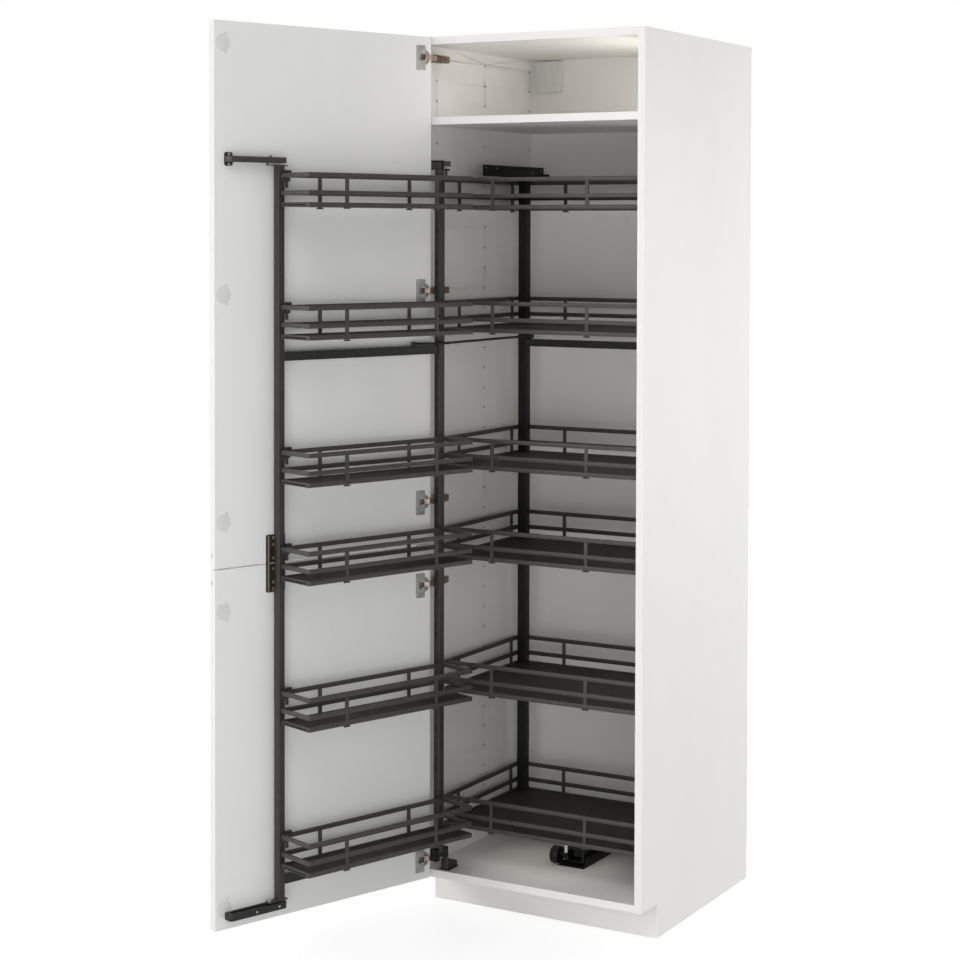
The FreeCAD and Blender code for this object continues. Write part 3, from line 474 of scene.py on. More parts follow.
def makeHingeArm():
    half, near, far, front = arm["wide"] / 2, arm["near"], arm["far"], arm["front"]
    beam = addBlock((near, arm["joinAt"], -half), (far, arm["back"], half))
    for vertex in beam.data.vertices:   # narrower and lower at the back
        if vertex.co.y > arm["back"] - touch:
            vertex.co.z *= arm["taper"]
            vertex.co.x -= arm["dip"] if vertex.co.x > far - touch else 0.0
    roundCorners(beam, 0, 0.0022, 4, lambda middle: middle.y > arm["back"] - touch)
    carve(beam, [addRound(arm["screwHole"], 0.012, (far, arm["screwAt"], 0), "X", 28),
                 addRound(arm["adjustHole"], 0.004, (far, arm["adjustAt"], 0), "X", 24)])
    soften(beam, 0.0007, 3)
    neck = addBlock((near + 0.002, front, -half + arm["neckIn"]),
                    (far - 0.001, arm["joinAt"] + 0.002, half - arm["neckIn"]))
    carve(neck, [addBlock((far - arm["foldDeep"], front - 0.001, -arm["fold"]),
                          (arm["cutEnd"], arm["joinAt"] - 0.006, arm["fold"]))])
    soften(neck, 0.0008, 3)
    pieces = [paint(beam, "bronzePlate"), paint(neck, "mauvePlate")]
    pieces += [addCheek(side, *cheeks["arm"]) for side in (-1, 1)]
    pieces.append(addPin(0, *hingePins["arm"]))
    # painted shade: the screw sunk deep in the arm's screw hole is near-black, so the hole reads dark
    pieces.append(addScrew("inkSteel", (far - arm["screwSink"], arm["screwAt"], 0), arm["screwSize"], 1))
    return gather(pieces)


hingeLevels = levelsOf("hinge_cups")
cups, arms = copies(len(hingeLevels), makeHingeCup(), makeHingeArm())
for number, level in enumerate(hingeLevels):
    lift = Matrix.Translation((0, 0, level))
    settle([cups[number]], f"hingeCup{number + 1}", "doors", "hinge_steel", doorPlace @ lift, "hinge_cups")
    settle([arms[number]], f"hingeArm{number + 1}", "carcass", "bronze_steel", cornerPlace @ lift, "hinge_arms")
print("hinges made:", len(hingeLevels))

# covers over the blind hinge bores at the free edge
boreCover = dict(edge=0.5745, radius=0.0185, thick=0.0012, earOffset=0.0075, earStep=0.0205, earRadius=0.0036,
                 earShare=0.8, holeRadius=0.0012, holeOut=0.001, domeIn=0.0035, domeHigh=0.0008)


def makeBoreCover():
    middle, thick, step, earRadius = [boreCover[key] for key in ("edge", "thick", "earStep", "earRadius")]
    disc = addRound(boreCover["radius"], thick, (middle, thick / 2, 0), "Y", 56)
    earAt, earThick = middle - boreCover["earOffset"], thick * boreCover["earShare"]
    wing = addBlock((earAt - earRadius, 0, -step), (earAt + earRadius, earThick, step))
    ears = [addRound(earRadius, earThick, (earAt, earThick / 2, side * step), "Y", 28) for side in (-1, 1)]
    weld(disc, [wing] + ears)
    holeStep = step + boreCover["holeOut"]
    carve(disc, [addRound(boreCover["holeRadius"], 0.004, (earAt, thick, side * holeStep), "Y", 16)
                 for side in (-1, 1)])
    soften(disc, 0.0006, 3)
    dome = addRound(boreCover["radius"] - boreCover["domeIn"], boreCover["domeHigh"], (middle, thick, 0), "Y", 48)
    soften(dome, 0.0004, 3)
    return gather(paintAll("milkPlastic", disc, dome))


covers = copies(len(hingeLevels), makeBoreCover())[0]
for number, level in enumerate(hingeLevels):
    settle([covers[number]], f"boreCover{number + 1}", "doors", "pale_plastic",
           doorPlace @ Matrix.Translation((0, 0, level)), "hinge_hole_covers")
print("bore covers made:", len(covers))

# slotted arms on the doors
topArm = dict(end=0.5726, near=0.0065, far=0.025, high=0.0128, overCaps=0.004, slot=(0.011, 0.0205), slotHigh=0.009,
              line=(0.004, 0.0056), lineDeep=0.0008, plateFrom=0.552, plateEnd=0.5722, plateHigh=0.03,
              plateLift=0.0065, plateThick=0.0042, foot=(0.003, 0.01), footIn=0.0012, pinAt=(0.4613, 0.016),
              pinRadius=0.0022, screwStep=0.0109, screwSeat=0.004, screwSize=0.8)
armLow = boxIn("top_door_arm", doorPlace)[0]
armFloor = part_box("outer_post_caps")[1][2] + topArm["overCaps"]
armTop = armFloor + topArm["high"]
armEnd, armFar, plateFrom, plateEnd = [topArm[key] for key in ("end", "far", "plateFrom", "plateEnd")]
bar = addBlock((armLow.x, topArm["near"], armFloor), (armEnd, armFar, armTop))
roundCorners(bar, 2, 0.003, 3, lambda middle: middle.x < armLow.x + touch)
roundCorners(bar, 2, 0.008, 6, lambda middle: middle.x > armEnd - touch and middle.y > armFar - touch)
slotBox = addBlock((armLow.x + 0.008, topArm["slot"][0], armFloor - 0.002),
                   (plateFrom - 0.004, topArm["slot"][1], armFloor + topArm["slotHigh"]))
sideLine = addBlock((armLow.x + 0.016, armFar - topArm["lineDeep"], armFloor + topArm["line"][0]),
                    (plateFrom - 0.006, armFar + 0.01, armFloor + topArm["line"][1]))
carve(bar, [slotBox, sideLine])
soften(bar, 0.0007, 3)
plateMiddle, plateHalf = armFloor + topArm["plateLift"], topArm["plateHigh"] / 2
plate = addBlock((plateFrom, 0.0, plateMiddle - plateHalf), (plateEnd, topArm["plateThick"], plateMiddle + plateHalf))
roundCorners(plate, 1, 0.005, 6)
foot = addBlock((plateFrom + 0.002, topArm["foot"][0], armFloor + topArm["footIn"]),
                (plateEnd - 0.003, topArm["foot"][1], armTop - topArm["footIn"]))
soften(plate, 0.0008, 3)
soften(foot, 0.0006)
# painted highlight: the black plastic bar and its foot are painted in the paler powder coat, for the light they catch
pieces = [paint(bar, "powderCoat"), paint(plate, "blackPlastic"), paint(foot, "powderCoat")]
for side in (-1, 1):
    screwAt = ((plateFrom + plateEnd) / 2, topArm["screwSeat"], plateMiddle + side * topArm["screwStep"])
    pieces.append(addScrew("zincScrew", screwAt, topArm["screwSize"]))
pin = addRound(topArm["pinRadius"], 0.005, (*topArm["pinAt"], armTop + 0.0015), "Z", 24, 0.0006)
pieces.append(paint(pin, "blackPlastic"))
settle(pieces, "topDoorArm", "doors", "black_plastic", doorPlace, "top_door_arm")

bottomArm = dict(groove=(0.0075, 0.0205), grooveDeep=0.011, grooveIn=0.008, screws=(0.505, 0.4455), screwSize=0.65,
                 relief=0.0022, reliefFrom=0.0192, reliefEnd=0.7, reliefHigh=0.3, rise=0.0028)
armLow, armHigh = boxIn("bottom_door_arm", doorPlace)
armHigh.z += bottomArm["rise"]
bar = addBlock((armLow.x, 0.0, armLow.z), (armHigh.x, armHigh.y, armHigh.z))
roundCorners(bar, 2, 0.0075, 5, lambda middle: middle.y > armHigh.y - touch)
groove = addBlock((armLow.x + bottomArm["grooveIn"], bottomArm["groove"][0], armHigh.z - bottomArm["grooveDeep"]),
                  (armHigh.x - bottomArm["grooveIn"], bottomArm["groove"][1], armHigh.z + 0.01))
roundCorners(groove, 2, 0.006, 5)
# the back stays clear of the lowest bore cover
relief = addBlock((boreCover["edge"] - bottomArm["reliefFrom"], -0.01, 0),
                  (bottomArm["reliefEnd"], bottomArm["relief"], bottomArm["reliefHigh"]))
carve(bar, [groove, relief])
soften(bar, 0.001, 3)
pieces = [paint(bar, "blackPlastic")]
for along in bottomArm["screws"]:
    screwAt = (along, armHigh.y - 0.0003, (armLow.z + armHigh.z) / 2)
    pieces.append(addScrew("zincScrew", screwAt, bottomArm["screwSize"]))
settle(pieces, "bottomDoorArm", "doors", "black_plastic", doorPlace, "bottom_door_arm")
print("door arms made")

# plate that joins the two doors: a dark bronze face and upright lip, their own tone darkened further as painted shade,
# and a ridge near its outer edge painted pale as a painted highlight
joining = dict(thick=0.0026, lip=0.0022, lipIn=0.003, ridge=(0.007, 0.0038), ridgeHigh=0.0042, ridgeIn=0.0025,
               slit=0.003, slitFrom=0.01, slitEnd=0.0105, round=0.004, screwSink=0.0002)
plateLow, plateHigh = boxIn("door_joining_plate", doorPlace)
screwLow, screwHigh = boxIn("door_joining_screws", doorPlace)
face = addBlock((plateLow.x, 0.0, plateLow.z), (plateHigh.x, joining["thick"], plateHigh.z))
roundCorners(face, 1, joining["round"], 5)
splitAt = (plateLow.z + plateHigh.z) / 2
carve(face, [addBlock((plateLow.x + joining["slitFrom"], -0.01, splitAt - joining["slit"] / 2),
                      (plateHigh.x - joining["slitEnd"], 0.02, splitAt + joining["slit"] / 2))])
soften(face, 0.0005)
lip = addBlock((plateHigh.x - joining["lip"], 0.0, plateLow.z + joining["lipIn"]),
               (plateHigh.x, plateHigh.y, plateHigh.z - joining["lipIn"]), 0.0005,
               (0, 0.003, 4, lambda middle: middle.y > 0.004))
ridge = addBlock((plateHigh.x - joining["ridge"][0], 0.0, plateLow.z + joining["ridgeIn"]),
                 (plateHigh.x - joining["ridge"][1], joining["ridgeHigh"], plateHigh.z - joining["ridgeIn"]))
soften(ridge, 0.0009, 3)
pieces = paintAll("brownSteel", face, lip) + [paint(ridge, "beigePlate")]
for height in levelsOf("door_joining_screws", 0.006):
    screwAt = ((screwLow.x + screwHigh.x) / 2, joining["thick"] - joining["screwSink"], height)
    pieces.append(addScrew("zincScrew", screwAt))
settle(pieces, "doorJoiningPlate", "doors", "bronze_steel", doorPlace, "door_joining_plate", "door_joining_screws")
print("joining plate made")

# posts of the swing rack, with hanging slots over each basket
post = dict(edge=0.0016, slotWide=0.0045, slotHigh=0.014, slotDeep=0.002, steps=(0.17, 0.095, 0.069), railMiddle=0.005,
            cutOver=0.01)
tierLevels = [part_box(f"door_basket_{number}")[1][2] - post["railMiddle"] for number in tiers]


def makePost(name, pieceName, slotSide):
    low, high = boxIn(name, rackPlace)
    tube = addBlock(low, high)
    middle, half, tall = (low.y + high.y) / 2, post["slotWide"] / 2, post["slotHigh"] / 2
    start = high.x - post["slotDeep"] if slotSide > 0 else low.x - post["cutOver"]
    end = high.x + post["cutOver"] if slotSide > 0 else low.x + post["slotDeep"]
    cutters = [addBlock((start, middle - half, tier + step - tall), (end, middle + half, tier + step + tall))
               for tier in tierLevels[1:] for step in post["steps"]]
    roundCorners(tube, 2, post["edge"], 3)
    settle([paint(carve(tube, cutters), "postCoat")], pieceName, "swing_rack", "dark_steel", rackPlace, name)


makePost("pivot_post", "pivotPost", 1)
makePost("outer_post", "outerPost", -1)

# plates on the outer post's ends, with the pins that run in the door arms
postCap = dict(start=0.458, end=0.4945, thick=0.0024, round=0.0035, pinAt=0.5034, pinRadius=0.0046, knobAt=0.5075,
               knobRadius=0.0032, neckHalf=0.0015)
low, high = boxIn("outer_post_caps", rackPlace)
middle, neckHalf, pinAt = (low.y + high.y) / 2, postCap["neckHalf"], postCap["pinAt"]
rounding = (0.0005, (2, postCap["round"], 4))
topCap = addBlock((postCap["start"], low.y, high.z - postCap["thick"]), (postCap["end"], high.y, high.z), *rounding)
endCap = addBlock((postCap["start"] + 0.002, low.y, low.z), (high.x, high.y, low.z + postCap["thick"]), *rounding)
knob = addRound(postCap["knobRadius"], 0.005, (postCap["knobAt"], middle, high.z + 0.0002), "Z", 6, 0.0005)
neck = addBlock((postCap["end"] - 0.002, middle - neckHalf, high.z - 0.002),
                (postCap["knobAt"], middle + neckHalf, high.z - 0.0004), 0.0004)
roller = addRound(postCap["pinRadius"], 0.007, (pinAt, middle, low.z + 0.0015), "Z", 28)
carve(roller, [addRound(postCap["pinRadius"] / 2, 0.004, (pinAt, middle, low.z + 0.005), "Z", 20)])
soften(roller, 0.0006)
pieces = paintAll("powderCoat", topCap, endCap) + paintAll("blackPlastic", knob, neck)
pieces.append(paint(roller, "satinNickel"))
settle(pieces, "outerPostCaps", "swing_rack", "dark_steel", rackPlace, "outer_post_caps")

# rear posts are square tubes with round edges and a slot row on the front face
rearPost = dict(wide=0.0256, inset=0.0016, edge=0.0024, slotWide=0.004, slotHigh=0.014, slotDeep=0.002)
rearLow, rearHigh = boxIn("rear_posts", cornerPlace)
rearLevels = [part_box(f"rear_basket_{number}")[1][2] - post["railMiddle"] for number in tiers]
half, tall = rearPost["slotWide"] / 2, rearPost["slotHigh"] / 2
pieces = []
for start in (rearLow.x + rearPost["inset"], rearHigh.x - rearPost["inset"] - rearPost["wide"]):
    tube = addBlock((start, rearLow.y, rearLow.z), (start + rearPost["wide"], rearHigh.y, rearHigh.z))
    roundCorners(tube, 2, rearPost["edge"], 4)
    middle = start + rearPost["wide"] / 2
    carve(tube, [addBlock((middle - half, rearLow.y - post["cutOver"], tier + step - tall),
                          (middle + half, rearLow.y + rearPost["slotDeep"], tier + step + tall))
                 for tier in rearLevels[1:] for step in post["steps"]])
    pieces.append(paint(tube, "inkSteel"))
settle(pieces, "rearPosts", "rear_rack", "dark_steel", cornerPlace, "rear_posts")
print("posts made")

# baskets: bent flat rails, uprights with little feet
rail = dict(high=0.01, thick=0.006, bend=0.003, edge=0.0009, edgeAngle=50, drops=(0.0, 0.039, 0.065), cutOver=0.02)
upright = dict(wide=0.008, thick=0.005, foot=0.004, edge=0.0006, footWide=0.0165, footHigh=0.003)
plan = dict(doorLead=0.004, doorShort=0.01, doorUprights=(0.108, 0.106), rearUprights=(0.1315, 0.1205),
            rearSides=(0.064, 0.048))


def makeRail(length, depth, middle):
    half, thick, over = rail["high"] / 2, rail["thick"], rail["cutOver"]
    loop = addBlock((0, 0, middle - half), (length, depth, middle + half))
    roundCorners(loop, 2, rail["bend"], 4)
    carve(loop, [addBlock((thick, thick, middle - over), (length - thick, depth - thick, middle + over))])
    return soften(loop, rail["edge"], 2, rail["edgeAngle"])


def makeBasket(length, depth, frontUprights, sideUprights):
    pieces = [makeRail(length, depth, -drop) for drop in rail["drops"]]
    low = -rail["drops"][-1] - rail["high"] / 2 - upright["foot"]
    inset = (rail["thick"] - upright["thick"]) / 2
    half = upright["wide"] / 2
    spots = []
    for along in frontUprights:
        for deep in (inset, depth - inset - upright["thick"]):
            spots.append(((along - half, deep), (along + half, deep + upright["thick"])))
    for deep in sideUprights:
        for along in (inset, length - inset - upright["thick"]):
            spots.append(((along, deep - half), (along + upright["thick"], deep + half)))
    extra = (upright["footWide"] - upright["wide"]) / 2
    for start, end in spots:
        pieces.append(addBlock((*start, low), (*end, 0.0), upright["edge"]))
        wider = (extra, 0) if end[0] - start[0] > upright["thick"] + touch else (0, extra)
        pieces.append(addBlock((start[0] - wider[0], start[1] - wider[1], low),
                               (end[0] + wider[0], end[1] + wider[1], low + upright["footHigh"]), upright["edge"]))
    return paint(gather(pieces), "powderCoat")


doorLow, doorHigh = boxIn("door_basket_1", rackPlace)
rearBoxLow, rearBoxHigh = boxIn("rear_basket_1", cornerPlace)
doorLength, doorDepth = doorHigh.x - doorLow.x - plan["doorShort"], doorHigh.y - doorLow.y
rearLength, rearDepth = rearBoxHigh.x - rearBoxLow.x, rearBoxHigh.y - rearBoxLow.y
doorSpots = (plan["doorUprights"][0], doorLength - plan["doorUprights"][1])
rearSpots = (rearLength / 2 - plan["rearUprights"][0], rearLength / 2 + plan["rearUprights"][1])
sideSpots = (plan["rearSides"][0], rearDepth - plan["rearSides"][1])
doorBaskets, rearBaskets = copies(len(tiers), makeBasket(doorLength, doorDepth, doorSpots, ()),
                                  makeBasket(rearLength, rearDepth, rearSpots, sideSpots))
racks = (("door", doorBaskets, "swing_rack", rackPlace, (doorLow.x + plan["doorLead"], doorLow.y)),
         ("rear", rearBaskets, "rear_rack", cornerPlace, (rearBoxLow.x, rearBoxLow.y)))
for number in tiers:
    for rack, baskets, body, place, start in racks:
        node = f"{rack}_basket_{number}"
        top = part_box(node)[1][2] - rail["high"] / 2
        settle([baskets[number - 1]], f"{rack}Basket{number}", body, "dark_steel",
               place @ Matrix.Translation((*start, top)), node)
print("baskets made:", len(doorBaskets) + len(rearBaskets))

# hooks that hang the door baskets on the posts
hook = dict(lump=(-0.013, 0.0093), lumpHigh=(-0.014, -0.0052), stem=(-0.0076, 0.0005), drop=0.028, thick=0.0038,
            cap=(-0.0134, 0.001), capHigh=(0.005, 0.0112), edge=0.0007, screwAt=(0.0056, -0.0092), screwSink=0.0003,
            screwSize=0.75)


def makeHook(side):
    # side 1 hangs on the post that lies towards +X, side -1 on the other
    spans = [sorted(side * end for end in hook[key]) for key in ("lump", "stem", "cap")]
    (lumpLeft, lumpRight), (left, right), (capLeft, capRight) = spans
    (lumpLow, lumpTop), (capLow, capTop) = hook["lumpHigh"], hook["capHigh"]
    thick, behind = hook["thick"], rail["thick"]
    plate = addBlock((lumpLeft, 0.0002, lumpLow), (lumpRight, thick, lumpTop))
    roundCorners(plate, 1, 0.0032, 4, lambda middle: middle.z < lumpLow + touch)
    stem = addBlock((left, 0.0004, -hook["drop"]), (right, thick - 0.0006, lumpLow + 0.004))
    roundCorners(stem, 1, 0.002, 3, lambda middle: middle.z < touch - hook["drop"])
    back = addBlock((left, behind - 0.0004, lumpLow + 0.0015), (right, behind + 0.0022, capTop - 0.001))
    bridge = addBlock((left, 0.001, lumpLow + 0.002), (right, behind + 0.0018, lumpTop - 0.001))
    cap = addBlock((capLeft, 0.0006, capLow), (capRight, behind + 0.0024, capTop))
    for part in (plate, stem, back, bridge, cap):
        soften(part, hook["edge"])
    screwAt = (side * hook["screwAt"][0], thick - hook["screwSink"], hook["screwAt"][1])
    screw = addScrew("powderCoat", screwAt, hook["screwSize"])
    return gather(paintAll("powderCoat", plate, stem, back, bridge) + [paint(cap, "blackPlastic"), screw])


clipLow, clipHigh = boxIn("basket_clips", rackPlace)
outerHooks, innerHooks = copies(len(tiers), makeHook(1), makeHook(-1))
hooks = outerHooks + innerHooks
hookSpots = [(start, tier) for start in (clipHigh.x, clipLow.x) for tier in tierLevels]
for number, (start, tier) in enumerate(hookSpots):
    settle([hooks[number]], f"basketHook{number + 1}", "swing_rack", "dark_steel",
           rackPlace @ Matrix.Translation((start, doorLow.y, tier)), "basket_clips")
print("basket hooks made:", len(hooks))

# pivots of the swing rack
axisX, axisY = rackAt[0] - sideLow[0], rackAt[1] - sideLow[1]
topPivot = dict(end=0.06, back=0.024, lift=0.003, high=0.0215, edge=0.0007, knobRadius=0.0084, knobHigh=0.0128,
                knobSink=0.002, ribs=14, ribRim=0.05, ribDeep=0.09, neckRadius=0.0024, neckHigh=0.0055,
                flangeRadius=0.0064, pinRadius=0.0024, axisShift=0.0025)
low, high = boxIn("rack_top_pivot", cornerPlace)
bracketTop = high.z + topPivot["lift"]
bracketLow, blockEnd, blockBack = bracketTop - topPivot["high"], topPivot["end"], topPivot["back"]
block = addBlock((low.x, low.y + 0.0008, bracketLow), (blockEnd, blockBack, bracketTop - 0.003))
lid = addBlock((low.x, low.y, bracketTop - 0.0036), (blockEnd + 0.0008, blockBack, bracketTop))
skirt = addBlock((low.x, low.y, bracketLow), (low.x + 0.0035, blockBack, bracketTop - 0.002))
tongue = addBlock((blockEnd - 0.006, axisY - 0.005, bracketTop - 0.0125),
                  (axisX + 0.002, axisY + 0.005, bracketTop - 0.0045))
for part in (block, lid, skirt, tongue):
    soften(part, topPivot["edge"])


def makeKnob(radius, long, ribs):
    # every second side face is pushed in for the grip
    knob = addRound(radius, long, (0, 0, 0), "Z", ribs * 2)
    sides = [side for side in knob.data.polygons if abs(side.normal.z) < straight]
    sides.sort(key=lambda side: math.atan2(side.center.y, side.center.x))
    grips = {side.index for side in sides[::2]}
    pickFaces(knob, lambda side: side.index in grips)
    bpy.ops.mesh.inset(thickness=radius * topPivot["ribRim"], use_individual=True)
    bpy.ops.transform.shrink_fatten(value=-radius * topPivot["ribDeep"])
    mode("OBJECT")
    return soften(knob, 0.0003, 2, 45)


knobAt = (axisX + topPivot["axisShift"], axisY)
knobMiddle = bracketTop - topPivot["knobSink"] - topPivot["knobHigh"] / 2
knob = shift(makeKnob(topPivot["knobRadius"], topPivot["knobHigh"], topPivot["ribs"]), *knobAt, knobMiddle)
neckLow = knobMiddle - topPivot["knobHigh"] / 2 - topPivot["neckHigh"]
neck = addRound(topPivot["neckRadius"], 0.007, (*knobAt, neckLow + 0.003), "Z", 24)
flange = addRound(topPivot["flangeRadius"], 0.0044, (*knobAt, neckLow - 0.0018), "Z", 32, 0.0008)
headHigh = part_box("pivot_post")[1][2] + 0.0003
pinRod = addRound(topPivot["pinRadius"], neckLow - headHigh, (axisX, axisY, (neckLow + headHigh) / 2), "Z", 24)
# painted highlight: the pivot's black plastic block and knob are painted in the paler powder coat for their highlights,
# the lid and skirt stay black
pieces = paintAll("inkSteel", lid, skirt, tongue, flange, pinRod) + paintAll("powderCoat", block, knob)
pieces.append(paint(neck, "palePlastic"))
settle(pieces, "topPivot", "carcass", "black_plastic", cornerPlace, "rack_top_pivot")

floorPivot = dict(start=0.062, end=0.0836, back=0.052, high=0.028, lean=0.0008, slope=0.0125, flare=0.0022,
                  baseHigh=0.003, bossRadius=0.0072, bossHigh=0.006, bossShift=0.0015, bossSink=0.0005)
low = boxIn("rack_floor_pivot", cornerPlace)[0]
blockTop, blockBack = low.z + floorPivot["high"], floorPivot["back"]
lean, flare, bossHigh = floorPivot["lean"], floorPivot["flare"], floorPivot["bossHigh"]
block = addBlock((floorPivot["start"], low.y, low.z), (floorPivot["end"], blockBack, blockTop))
for vertex in block.data.vertices:   # the sides lean in, and the top slopes down to the back
    if vertex.co.z > blockTop - touch:
        inFront = vertex.co.y < blockBack - touch
        vertex.co.x += lean if vertex.co.x < axisX else -lean
        vertex.co.z -= 0.0 if inFront else floorPivot["slope"]
        vertex.co.y += lean if inFront else -lean
roundCorners(block, 2, 0.0022, 3)
soften(block, 0.0009, 3)
base = addBlock((floorPivot["start"] - 0.004, low.y - 0.001, low.z),
                (floorPivot["end"] + flare, blockBack + flare, low.z + floorPivot["baseHigh"]), 0.001, (2, 0.003, 4))
bossAt = (axisX + floorPivot["bossShift"], axisY, blockTop + bossHigh / 2 - floorPivot["bossSink"])
boss = addRound(floorPivot["bossRadius"], bossHigh, bossAt, "Z", 40)
soften(boss, 0.0024, 4)
settle(paintAll("blackPlastic", block, base, boss), "floorPivot", "carcass", "black_plastic", cornerPlace,
       "rack_floor_pivot")

# lugs at the pivot post's foot and head, round about the axis
lug = dict(radius=0.008, footLow=0.1318, footHigh=0.02, headHigh=0.01, headIn=0.0006, web=(0.98, 0.75),
           shoe=((0.0182, -0.014, 0.1215), (0.035, 0.004, 0.15)))
high = boxIn("rack_pivot_ends", rackPlace)[1]
postLow, postHigh = boxIn("pivot_post", rackPlace)
pieces = []
for start, end in ((lug["footLow"], lug["footLow"] + lug["footHigh"]), (postHigh.z - lug["headHigh"], postHigh.z)):
    eye = addRound(lug["radius"], end - start, (0, 0, (start + end) / 2), "Z", 40)
    web = addBlock((0, -lug["radius"] * lug["web"][0], start), (high.x, lug["radius"] * lug["web"][1], end))
    weld(eye, [web])
    soften(eye, 0.001, 3)
    pieces.append(paint(eye, "inkSteel"))
headIn = lug["headIn"]
head = addBlock((postLow.x + headIn, postLow.y + headIn, postHigh.z - 0.001),
                (postHigh.x - headIn, postHigh.y - headIn, high.z))
pieces.append(paint(soften(head, 0.001), "powderCoat"))
pieces.append(paint(addBlock(*lug["shoe"], 0.0008, (2, 0.002, 3)), "inkSteel"))
settle(pieces, "pivotPostLugs", "swing_rack", "dark_steel", rackPlace, "rack_pivot_ends")
print("pivots made")

# floor runner: a low channel with a slanted lip in front and one higher wall
runner = dict(wall=0.003, wallFrom=0.002, floor=0.002, thin=0.6, slant=0.005, lead=0.008, leadBack=0.002,
              lowWall=0.006, highWall=0.022)
low, high = boxIn("floor_runner", cornerPlace)
base = addBlock((low.x - 0.002, low.y - runner["lead"], low.z), (high.x, high.y, low.z + runner["floor"]))
for vertex in base.data.vertices:   # the front end runs down to a thin lip
    if vertex.co.y < low.y and vertex.co.z > low.z + touch:
        vertex.co.z -= runner["floor"] * runner["thin"]
        vertex.co.y += runner["leadBack"]
walls, wallFront = [], low.y + runner["wallFrom"]
for start, wallHigh in ((low.x, runner["lowWall"]), (high.x - runner["wall"], runner["highWall"])):
    wall = addBlock((start, wallFront, low.z), (start + runner["wall"], high.y, low.z + wallHigh))
    for vertex in wall.data.vertices:   # front ends of the walls slant back
        if vertex.co.y < wallFront + touch and vertex.co.z > low.z + touch:
            vertex.co.y += runner["slant"]
    walls.append(wall)
for part in [base] + walls:
    soften(part, 0.0006)
settle(paintAll("inkSteel", base, *walls), "floorRunner", "carcass", "black_plastic", cornerPlace, "floor_runner")

# carriage of the rear rack: an eight-sided roller beside a beam with a pale guide strip
carriage = dict(rollerWide=0.02, rollerOver=1.04, sides=8, rim=0.0035, dish=0.002, axleRadius=0.0105, beamFrom=0.3,
                beamEnd=0.35, beamBack=0.012, hollowIn=0.006, hollowDeep=0.045, strip=0.006, stripAt=0.3005)
low, high = boxIn("rear_carriage", cornerPlace)
wide, beamFrom, beamEnd, stripAt = [carriage[key] for key in ("rollerWide", "beamFrom", "beamEnd", "stripAt")]
rollerAt, rollerDeep, level = low.x + 0.001, low.y + 0.0075, (low.z + high.z) / 2
roller = addRound((high.z - low.z) / 2 * carriage["rollerOver"], wide, (rollerAt + wide / 2, rollerDeep, level), "X",
                  carriage["sides"])
pickFaces(roller, lambda side: abs(side.normal.x) > straight)
bpy.ops.mesh.inset(thickness=carriage["rim"], use_individual=True)
bpy.ops.mesh.inset(thickness=0.001, depth=-carriage["dish"], use_individual=True)
mode("OBJECT")
soften(roller, 0.0008)
axleAt = ((rollerAt + beamFrom) / 2 + 0.002, rollerDeep + 0.012, level)
axle = addRound(carriage["axleRadius"], beamFrom - rollerAt, axleAt, "X", 28, 0.0006)
beamFront = low.y + carriage["beamBack"]
beam = addBlock((beamFrom, beamFront, low.z + 0.003), (beamEnd, high.y, high.z))
roundCorners(beam, 0, 0.006, 4, lambda middle: middle.y < beamFront + touch)
carve(beam, [addBlock((beamFrom + carriage["hollowIn"], low.y - 0.01, low.z + 0.01),
                      (beamEnd - carriage["hollowIn"], low.y + carriage["hollowDeep"], high.z - 0.005))])
soften(beam, 0.0008)
strip = addBlock((stripAt, low.y + 0.006, high.z - 0.014),
                 (stripAt + carriage["strip"], low.y + 0.012, high.z + 0.003), 0.0006)
stay = addBlock((low.x + wide + 0.002, low.y + 0.008, high.z - 0.012),
                (beamFrom + 0.004, low.y + 0.02, high.z - 0.004), 0.0006)
pieces = paintAll("inkSteel", roller, axle, beam, stay) + [paint(strip, "palePlastic")]
settle(pieces, "rearCarriage", "rear_rack", "black_plastic", cornerPlace, "rear_carriage")
print("runner and carriage made")

# top guides for the rear rack: a thin web, a shelf and a tab each, with screws
guide = dict(thick=0.003, reach=0.043, round=0.001, shelfRound=0.004, edge=0.0004, tab=(0.02, 0.005, 0.0115),
             screwSize=0.5, screwSink=0.0002,
             screws=((0.01, 0.0072), (0.064, 0.0074), (0.289, 0.007), (0.245, 0.0139)))
low, high = boxIn("top_guides", cornerPlace)
thick, reach, edge, (tabLong, tabLow, tabHigh) = [guide[key] for key in ("thick", "reach", "edge", "tab")]
pieces = []
for webLow, shelfLow, facing in ((low.x + reach - thick, low.x, 1), (high.x - reach, high.x - reach, -1)):
    web = addBlock((webLow, low.y, low.z), (webLow + thick, high.y, high.z), edge, (0, guide["round"], 3))
    shelf = addBlock((shelfLow, (low.y + high.y) / 2, high.z - thick), (shelfLow + reach, high.y, high.z), edge,
                     (2, guide["shelfRound"], 4))
    tabEnd = webLow + tabLong if facing > 0 else webLow + thick - tabLong
    tab = addBlock((min(webLow, tabEnd), high.y - thick, low.z + tabLow),
                   (max(webLow + thick, tabEnd), high.y, low.z + tabHigh), edge)
    pieces += paintAll("inkSteel", web, shelf, tab)
    seat = webLow + thick - guide["screwSink"] if facing > 0 else webLow + guide["screwSink"]
    pieces += [addScrew("zincScrew", (seat, low.y + along, high.z - drop), guide["screwSize"], facing)
               for along, drop in guide["screws"]]
settle(pieces, "topGuides", "carcass", "black_steel", cornerPlace, "top_guides")
print("guides made")

